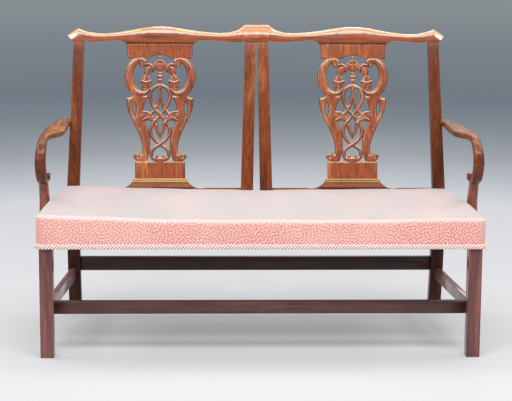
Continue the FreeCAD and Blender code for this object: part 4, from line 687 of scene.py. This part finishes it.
def carve_side(carving, side):
    """Side band, C-scroll with its two volutes, and the chain of leaf and bell between them."""
    def placed(points):
        return [(side * x, v) for x, v in points]

    outer = spline([
        (33.6, 79.1), (32.6, 70.8), (28.8, 60.6), (23.2, 49.1),
        (18.9, 38), (17.6, 29), (19.6, 21), (23, 15),
    ], 28)
    inner = spline([
        (11.3, 82.6), (15.4, 75), (16.8, 68.6), (15.6, 58),
        (11.2, 46.6), (9.9, 36.4), (10.6, 26), (14, 15),
    ], 28)
    shoulder = [(26.4, 85.2), (28.4, 82), (31, 80.9), (33.2, 81.4)]
    band = [*inner[::-1], *shoulder, *outer]
    carving.plate(placed(band), -1.4, 8, 2.8, hole=(side * 25.8, 70, 1.7, 6.4))
    carving.groove(placed([(25.4, 63.6), (23.4, 57.6), (20, 50)]), 1.6, 1.4)
    scroll = [
        (14.6, 113.6), (15.6, 117.4), (20.6, 118.9), (26.2, 115.4), (29.8, 109.4), (31, 102.8),
        (28.9, 93.4), (25, 87.4), (18.4, 84.9), (13.4, 86.6), (10.2, 89.8),
    ]
    widths = [11, 18, 22, 26, 28, 30, 31, 29, 22, 15, 6]
    carving.ribbon(placed(scroll), widths, 2.2, 5.0, groove=1.3)
    carving.volute(side * 17.6, 114.4, 3.2, -side, math.pi / 2)
    carving.volute(side * 14.3, 91.6, 4.0, side, -math.pi / 2)
    leaf = [(5.8, 111.6), (8.4, 111), (11, 109), (13, 105.8), (13.5, 103.4)]
    carving.ribbon(placed(leaf), (10, 27, 32, 23, 10), 0.8, 3.6, groove=1.4)
    carving.ribbon(placed([(6.2, 106.8), (7.2, 111), (10.4, 114.2), (14, 114.2)]), (4, 8, 8, 4), 2.6, 3.0)
    bell = [(13.5, 103.6), (13.7, 100.8), (13.8, 98.2), (13.8, 96.6)]
    carving.ribbon(placed(bell), (10, 24, 31, 35), 1.4, 3.2)
    carving.ribbon(placed([(8.6, 98), (13.8, 96.4), (19, 98)]), (5, 8, 5), 2.6, 2.8)
    carving.volute(side * 22.6, 22.4, 3.9, side, math.pi * (0.5 + 0.5 * side))
    carving.ribbon(placed([(22.6, 18.8), (19.4, 19.6), (17.4, 23)]), (9, 13, 10), -0.4, 3.0)


def carve_straps(carving, side):
    """Straps that start on one side: each passes over on one crossing and under on the next."""
    def placed(points):
        return [(side * x, v) for x, v in points]

    ring = [
        (-0.6, 93.4), (5.6, 91.2), (9.7, 84.4), (8.2, 75.4), (0, 63.6), (-9.6, 47), (0, 34.2), (8.2, 27),
        (7.4, 20.6), (4, 18.4),
    ]
    carving.ribbon(
        placed(ring), [STRAP], 0.4, 3.6,
        crossings=((0.25, 1.5 * side), (0.375, -1.5 * side), (0.5, 1.6 * side), (0.73, -1.6 * side)))
    spear = [(0.4, 91), (0.5, 84), (1.5, 78), (4.6, 69.6), (8, 65.4), (12, 63)]
    carving.ribbon(placed(spear), [0.6 * STRAP, 0.7 * STRAP, STRAP, STRAP], 0.2, 3.2,
                   crossings=((0.62, -1.6 * side),))
    back_strap = [(14.5, 60.6), (9, 59.6), (5.4, 57), (3.3, 50), (1.1, 43.6), (0, 40.2)]
    carving.ribbon(
        placed(back_strap), [0.8 * STRAP, STRAP, STRAP, STRAP, 0.9 * STRAP, 0.3 * STRAP], 0.2, 3.2,
        crossings=((0.42, 1.6 * side),))
    # Leaf bud between the straps and the side band, with two raised veins
    bud = [(17.4, 62.4), (13.6, 62.6), (10, 61.8), (6.6, 60.4)]
    carving.ribbon(placed(bud), (28, 34, 25, 12), -0.4, 3.0)
    carving.ribbon(placed([(17.2, 66.6), (13, 66.4), (9, 63.4)]), (4, 8, 4), 2.0, 2.8)
    carving.ribbon(placed([(16.8, 58.6), (13, 61), (9.4, 62)]), (3, 6, 3), 1.5, 2.4)
    carving.volute(side * 3, 21.4, 2.0, -side, math.pi / 2, turns=1.2)


def splats():
    """One carved plate for both chair backs; each stands in its CAD splat's place."""
    points, faces, dark = carve_splat().mesh(SPLAT_THICKNESS)
    for name, side in (("splat_right", 1), ("splat_left", -1)):
        place = (side * SPLAT_MIDDLE, SPLAT_SET, SHOE_HEIGHT)
        piece = new_piece(f"carved_{name}", on_back(*(points + place).T), faces, warm["z"])
        mark_points(piece, "patina_and_shade", dark)
        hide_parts(name)
        shade_curves(piece)


splats()


# Seat cover: its walls, rolls and edges
COVER_STAND = 3.6
COVER_BOTTOM = RAIL_BOTTOM + 0.5
SEAT_ROLL = 17.0
SEAT_CORNER = 14.0
WALL_BELLY = 1.1
HEM = 8.0
REAR_TUCK = BACK_FOOT + 2.4
REAR_WALL = REAR - 0.6
REAR_BOTTOM = RAIL_TOP + 4.5
REAR_ROLL = 5.0
STILE_INSIDE = 576.5
INNER_STILES = 52.4
ROLL_CLOTH = 0.57
# Its top: the edge above the rails, the fall to the rear, the crown and the rises at the ends
SEAT_EDGE = 36.0
SEAT_FALL = 5.0
SEAT_CROWN = 10.5
END_RISE = 6.0
LEFT_RISE = 10.0
SEAT_MIDDLE = (0.0, -50.0)
SPINE_HALF = 430.0
SPINE_DEPTH = -60.0
# Points along its outline
TURN_STEPS = 9
SIDE_STEPS = 40
FRONT_STEPS = 60


def side_line(y):
    """Half width over the side rails' faces at a depth."""
    return REAR_HALF + (FRONT_HALF - REAR_HALF) / (REAR - FRONT - FRONT_LEG) * (REAR - y)


def seat_plan(out):
    """Outline of the seat, so far outside the wood, from the right rear leg round the front to the left."""
    front = FRONT - out
    corner = SEAT_CORNER + out
    half_front = side_line(front) + out
    steps = np.linspace(0, math.pi / 2, TURN_STEPS)
    right_turn = np.stack(
        (half_front - corner + corner * np.cos(steps), front + corner - corner * np.sin(steps)), axis=1)
    depths = np.linspace(REAR_WALL, front + corner + 2, SIDE_STEPS)
    right_side = np.stack((side_line(depths) + out, depths), axis=1)
    run = np.linspace(half_front - corner - 2, 0, FRONT_STEPS)
    front_run = np.stack((run, np.full(FRONT_STEPS, front)), axis=1)
    right = np.concatenate((right_side, right_turn, front_run))
    left = right[::-1][1:] * (-1, 1)
    return np.concatenate((right, left))


def seat_top(x, y):
    """Height of the seat above the floor: crowned, uneven, and higher at its ends, most at the left."""
    share = np.clip((y - FRONT) / (BACK_FOOT - FRONT), 0, 1)
    height = SEAT_EDGE - SEAT_FALL * share + SEAT_CROWN * np.sin(math.pi * share)
    out = x / side_line(y)
    rise = END_RISE * np.abs(out) ** 2 + LEFT_RISE * np.clip(-out, 0, 1) ** 2
    hand = 0.9 * np.sin(x / 83 + 1.3) * np.sin(y / 61 + 0.4) + 0.5 * np.sin(x / 37 + y / 51)
    return RAIL_TOP + height + rise + hand


def seat_cover():
    """The fitted cover: walls down the rails, a rolled edge and a crowned top, with its flat cloth as UV."""
    plan = seat_plan(COVER_STAND)
    # Points of the rear edge lie close together where it steps round a stile
    rear_half = [577.0, 576.0, *np.linspace(560, 60, 50), 53.0, 52.0]
    rear_x = [*rear_half, *np.linspace(45, -45, 10), *[-x for x in reversed(rear_half)]]
    rear_line = [(x, REAR_TUCK if INNER_STILES < abs(x) < STILE_INSIDE else REAR_WALL) for x in rear_x]
    outline = np.concatenate((plan, np.array(rear_line)[::-1]))
    closed = np.concatenate((outline[-1:], outline, outline[:1]))
    along = closed[2:] - closed[:-2]
    normal = np.stack((-along[:, 1], along[:, 0]), axis=1)
    normal /= np.linalg.norm(normal, axis=1)[:, None]
    outward = np.sign((normal * (outline - SEAT_MIDDLE)).sum(axis=1))
    normal *= outward[:, None]
    is_rear = np.arange(len(outline)) >= len(plan)
    roll = np.where(is_rear, REAR_ROLL, SEAT_ROLL)
    bottom = np.where(is_rear, REAR_BOTTOM, COVER_BOTTOM)
    middle_x = np.clip(outline[:, 0], -SPINE_HALF, SPINE_HALF)
    spine = np.stack((middle_x, np.full(len(outline), SPINE_DEPTH)), axis=1)
    rings = []
    cloth = []

    def ring(inset, height, unrolled):
        """One ring of the cover: so far in from the wall, at a height, with its place on the flat cloth."""
        place = outline - normal * inset[:, None]
        rings.append(np.column_stack((place, height)))
        cloth.append(outline + normal * unrolled[:, None])

    edge_in = outline - normal * roll[:, None]
    edge_top = seat_top(edge_in[:, 0], edge_in[:, 1])
    wall_top = edge_top - roll
    none = np.zeros(len(outline))
    ring(none + HEM, bottom + 0.4, roll * ROLL_CLOTH + wall_top - bottom + HEM)
    ring(none + 0.6, bottom, roll * ROLL_CLOTH + wall_top - bottom + 1)
    for share in np.linspace(0, 1, 9):
        belly = WALL_BELLY * math.sin(math.pi * share)
        ring(none - belly * ~is_rear, bottom + (wall_top - bottom) * share + 0.6,
             roll * ROLL_CLOTH + (wall_top - bottom) * (1 - share))
    for turn in np.radians((18, 36, 54, 72, 90)):
        ring(roll * (1 - math.cos(turn)), wall_top + roll * math.sin(turn),
             -roll * (1 - math.cos(turn)) + roll * ROLL_CLOTH * (1 - turn / (math.pi / 2)))
    for share in (0.04, 0.1, 0.18, 0.28, 0.4, 0.53, 0.67, 0.82, 1.0):
        place = edge_in + (spine - edge_in) * share
        rings.append(np.column_stack((place, seat_top(place[:, 0], place[:, 1]))))
        cloth.append(place)
    count = len(outline)
    points = np.concatenate(rings) * MM
    flat = np.concatenate(cloth) * MM
    faces = []
    for level in range(len(rings) - 1):
        for i in range(count):
            j = (i + 1) % count
            low, high = level * count, (level + 1) * count
            faces.append((low + i, low + j, high + j, high + i))
    piece = new_piece("seat_upholstery", points, faces, seat_fabric())
    lay_flat(piece, "cloth", flat)
    smoother = piece.modifiers.new("round", "SUBSURF")
    smoother.levels = smoother.render_levels = 1
    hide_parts("seat_cover", "calico_undercover", "seat_stuffing")


seat_cover()


# Rope trim
CORD_STAND = COVER_STAND + 2.2
CORD_MIDDLE = RAIL_BOTTOM + 7.8
CORD_LAY = 30.0
CORD_STRANDS = 6
SWING_OUT = 2.2
SWING_UP = 5.2
STRAND_OUT = 1.5
CREAM_UP = 2.8
PINK_UP = 2.2
LAY_STEPS = 14
STRAND_SIDES = 10
STRAND_TURN = 0.02


def rope_trim():
    """Cord of cream strands and thinner pink ones by turns, the pink painting the shade between the cream,
    round the bottom of the cover from rear leg to rear leg.
    """
    plan = seat_plan(CORD_STAND)
    steps = np.linalg.norm(np.diff(plan, axis=0), axis=1)
    marks = np.concatenate(([0], np.cumsum(steps)))
    count = int(marks[-1] / CORD_LAY * LAY_STEPS)
    at = np.linspace(0, marks[-1], count)
    path = np.stack([np.interp(at, marks, plan[:, axis]) for axis in (0, 1)], axis=1)
    along = np.gradient(path, axis=0)
    along /= np.linalg.norm(along, axis=1)[:, None]
    out = np.stack((-along[:, 1], along[:, 0]), axis=1)
    out *= np.sign((out * path).sum(axis=1))[:, None]
    points, faces, tint, strand_uv = [], [], [], []
    for strand in range(CORD_STRANDS):
        # The thinner pink strands lie in the gaps between the cream ones and paint the shade there
        pink = strand % 2
        thick_up = PINK_UP if pink else CREAM_UP
        phase = 2 * math.pi * (strand / CORD_STRANDS - at / CORD_LAY)
        middle_out = SWING_OUT * np.cos(phase)
        middle_up = SWING_UP * np.sin(phase)
        base = len(points)
        for i in range(count):
            for k in range(STRAND_SIDES):
                turn = 2 * math.pi * k / STRAND_SIDES
                o = middle_out[i] + STRAND_OUT * math.cos(turn)
                u = middle_up[i] + thick_up * math.sin(turn)
                points.append((path[i, 0] + out[i, 0] * o, path[i, 1] + out[i, 1] * o, CORD_MIDDLE + u))
                tint.append(pink)
                strand_uv.append((at[i] * MM, k / STRAND_SIDES * STRAND_TURN))
        for i in range(count - 1):
            here, after = base + i * STRAND_SIDES, base + (i + 1) * STRAND_SIDES
            for k in range(STRAND_SIDES):
                n = (k + 1) % STRAND_SIDES
                faces.append((here + k, here + n, after + n, after + k))
        last = base + (count - 1) * STRAND_SIDES
        faces.append(tuple(base + k for k in reversed(range(STRAND_SIDES))))
        faces.append(tuple(last + k for k in range(STRAND_SIDES)))
    piece = new_piece("rope_trim_cord", np.array(points) * MM, faces, rope_cloth())
    mark_points(piece, "strand_tint", tint)
    lay_flat(piece, "strand", strand_uv)
    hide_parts("rope_trim")


rope_trim()


# Webbing and hessian under the seat, in metres
WEB_WIDTH = 0.05
WEB_STEPS = 60
WEB_WAVE = 0.0005
WEB_WAVES = 10
HESSIAN_DIP = 0.0003
HESSIAN_ROWS = 24
HESSIAN_COLS = 60


def web_strips(node, name, axis, count, material):
    """Woven webs in the CAD webs' places, evenly set, each passing over and under those that cross it."""
    ends = np.array([tuple(vertex.co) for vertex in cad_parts[node].data.vertices])
    low, high = ends.min(axis=0), ends.max(axis=0)
    across = 1 - axis
    pitch = (high[across] - low[across] - WEB_WIDTH) / (count - 1)
    points, faces = [], []
    for number in range(count):
        left = low[across] + pitch * number
        right = left + WEB_WIDTH
        own = ends[(ends[:, across] > left - 1e-4) & (ends[:, across] < right + 1e-4)]
        start, stop = own[:, axis].min(), own[:, axis].max()
        base = len(points)
        for i in range(WEB_STEPS + 1):
            place = start + (stop - start) * i / WEB_STEPS
            wave = WEB_WAVE * math.sin((place * WEB_WAVES + number) * math.pi)
            for side, z in ((left, low[2]), (right, low[2]), (right, high[2]), (left, high[2])):
                point = [0, 0, z + wave]
                point[axis] = place
                point[across] = side
                points.append(tuple(point))
        for i in range(WEB_STEPS):
            here, after = base + 4 * i, base + 4 * i + 4
            for k in range(4):
                n = (k + 1) % 4
                faces.append((here + k, here + n, after + n, after + k))
        faces.append((base + 3, base + 2, base + 1, base))
        faces.append(tuple(base + 4 * WEB_STEPS + k for k in range(4)))
    piece = new_piece(name, points, faces, material, smooth=False)
    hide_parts(node)
    return piece


webbing_cloth = jute("webbing", (0.34, 0.25, 0.15), 130.0)
long_webs = web_strips("webbing_lengthwise", "seat_webs_lengthwise", 0, 4, webbing_cloth)
cross_webs = web_strips("webbing_crosswise", "seat_webs_crosswise", 1, 10, webbing_cloth)


def hessian():
    """Base cloth, drawn tight over the webs and dipping a little between them."""
    low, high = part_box("base_hessian")
    corners = np.array([tuple(vertex.co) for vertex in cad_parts["base_hessian"].data.vertices])
    far = np.abs(corners[corners[:, 1] > high.y - 1e-4][:, 0]).max()
    near = high.x
    rows, cols = HESSIAN_ROWS, HESSIAN_COLS
    points, faces = [], []
    for layer in (0, 1):
        for r in range(rows + 1):
            y = low.y + (high.y - low.y) * r / rows
            half = near + (far - near) * r / rows
            for c in range(cols + 1):
                x = half * (2 * c / cols - 1)
                dip = HESSIAN_DIP * math.sin(x * 62) * math.sin(y * 63)
                points.append((x, y, (high.z if layer else low.z) + dip))
    size = (rows + 1) * (cols + 1)
    for r in range(rows):
        for c in range(cols):
            a = r * (cols + 1) + c
            quad = (a, a + 1, a + cols + 2, a + cols + 1)
            faces.append(tuple(reversed(quad)))
            faces.append(tuple(i + size for i in quad))
    border = list(range(cols)) + [r * (cols + 1) + cols for r in range(rows)]
    border += [rows * (cols + 1) + c for c in range(cols, 0, -1)]
    border += [r * (cols + 1) for r in range(rows, 0, -1)]
    for a, b in zip(border, border[1:] + border[:1]):
        faces.append((a, b, b + size, a + size))
    cloth = jute("hessian", (0.42, 0.32, 0.2), 210.0)
    piece = new_piece("base_hessian_cloth", points, faces, cloth, smooth=False)
    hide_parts("base_hessian")


hessian()


# CAD nodes that stay, with the width in metres that their arrises are worn or planed to
WORN = 0.0011
FINE = 0.0009
PLANED = 0.0008
KEEN = 0
steel_finish = steel()
finishes = {
    "front_leg": (deep["z"], WORN), "rear_leg": (outer_wood, WORN), "inner_stile": (inner_wood, WORN),
    "side_seat_rail": (plain["y"], PLANED), "front_corner_brace": (plain["x"], PLANED),
    "rear_corner_brace": (plain["x"], PLANED), "side_stretcher": (deep["y"], WORN),
    "splat_shoe": (shoe_wood, FINE), "arm": (arm_wood, KEEN), "arm_support": (support_wood, KEEN),
    "front_seat_rail": (plain["x"], PLANED), "rear_seat_rail": (dusky, FINE),
    "seat_cross_brace": (plain["y"], PLANED), "corner_brace_screws": (steel_finish, KEEN),
    "arm_support_screws": (steel_finish, KEEN), "front_stretcher": (dusky, WORN),
    "rear_stretcher": (dim, WORN), "crest_rail": (warm["x"], WORN),
}
for node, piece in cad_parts.items():
    kind = node.removesuffix("_right").removesuffix("_left")
    if kind in finishes and not piece.hide_render:
        finish, bevel = finishes[kind]
        for slot in piece.material_slots:
            slot.material = finish
        soften(piece, bevel)


# Stage
FLOOR_RADIUS = 45
FLOOR_SIDES = 96
TONE_REACH = 14.0


def floor():
    """Pale floor whose tone, a painted pool of light, falls off to a grey studio ground far from the settee;
    it glows with that tone.
    """
    mesh = bpy.data.meshes.new("floor")
    turns = [2 * math.pi * k / FLOOR_SIDES for k in range(FLOOR_SIDES)]
    rim = [(FLOOR_RADIUS * math.cos(t), FLOOR_RADIUS * math.sin(t), 0) for t in turns]
    mesh.from_pydata(rim, [], [tuple(range(FLOOR_SIDES))])
    shader = Shader("floor")
    place = shader.add("TexCoord").outputs["Object"]
    far = shader.add("VectorMath", {"operation": "LENGTH"})
    shader.tree.links.new(place, far.inputs[0])
    # Painted pool of light: the tone falls off with the distance from the settee
    share = shader.remap(far.outputs["Value"], 0.0, TONE_REACH)
    tone = shader.ramp(share, (
        (0.04, (0.30, 0.30, 0.305)), (0.118, (0.295, 0.29, 0.303)), (0.17, (0.30, 0.305, 0.318)),
        (0.205, (0.25, 0.26, 0.28)), (0.26, (0.185, 0.195, 0.21)), (0.33, (0.14, 0.16, 0.18)),
        (0.42, (0.128, 0.148, 0.175)), (0.92, (0.205, 0.23, 0.24)),
    ))
    # Painted light: the floor glows with its own tone, which lightens the shadows on it
    mesh.materials.append(shader.finish(
        Base_Color=tone, Roughness=0.9, Specular_IOR_Level=0.1, Emission_Color=tone, Emission_Strength=0.9))
    piece = bpy.data.objects.new("floor", mesh)
    scene.collection.objects.link(piece)


floor()


def area_light(name, place, target, size, power):
    """A soft light of a width and height, in metres, that faces a target."""
    data = bpy.data.lights.new(name, "AREA")
    data.shape = "RECTANGLE"
    data.size, data.size_y = size
    data.energy = power
    lamp = bpy.data.objects.new(name, data)
    lamp.location = place
    lamp.rotation_mode = "QUATERNION"
    lamp.rotation_quaternion = (Vector(target) - Vector(place)).to_track_quat("-Z", "Y")
    scene.collection.objects.link(lamp)


area_light("overhead", (0.0, -2.0, 3.2), (0, -0.2, 0.4), (4.2, 1.4), 165)
area_light("rim", (0.0, 0.8, 3.2), (0, 0.3, 0.8), (4.0, 1.0), 60)
area_light("side_left", (-2.5, 0.25, 2.75), (-0.5, 0.2, 0.8), (1.1, 1.1), 40)
area_light("side_right", (2.5, 0.25, 2.75), (0.5, 0.2, 0.8), (1.1, 1.1), 40)
area_light("front_left", (-2.6, -4.6, 2.3), (0, 0, 0.5), (2.2, 1.8), 48)
area_light("front_right", (3.0, -4.2, 2.0), (0, 0, 0.5), (2.0, 1.8), 18)
area_light("back_fill", (0.6, 4.2, 2.8), (0, 0, 0.6), (2.4, 1.6), 40)

world = bpy.data.worlds.new("studio")
world.use_nodes = True
world.node_tree.nodes["Background"].inputs["Color"].default_value = (0.62, 0.66, 0.7, 1)
world.node_tree.nodes["Background"].inputs["Strength"].default_value = 0.38
scene.world = world
scene.view_settings.view_transform = "Standard"


# Camera
EYE = (-0.17716, -5.38936, 1.46154)
FOCAL_PIXELS = 1739.96
PICTURE_WIDTH = 512
SENSOR = 36


def camera():
    """The photograph's view: a little from the left and above, with a long lens."""
    yaw, pitch, roll = 0.0314, -0.1897, 0.006
    forward = Vector((math.sin(yaw) * math.cos(pitch), math.cos(yaw) * math.cos(pitch), math.sin(pitch)))
    level = Vector((math.cos(yaw), -math.sin(yaw), 0))
    upright = level.cross(forward)
    right = level * math.cos(roll) + upright * math.sin(roll)
    up = upright * math.cos(roll) - level * math.sin(roll)
    data = bpy.data.cameras.new("camera")
    data.sensor_width = SENSOR
    data.lens = SENSOR * FOCAL_PIXELS / PICTURE_WIDTH
    data.clip_end = 200
    eye = bpy.data.objects.new("camera", data)
    turn = Matrix((right, up, -forward)).transposed().to_4x4()
    eye.matrix_world = Matrix.Translation(EYE) @ turn
    scene.collection.objects.link(eye)
    scene.camera = eye


camera()
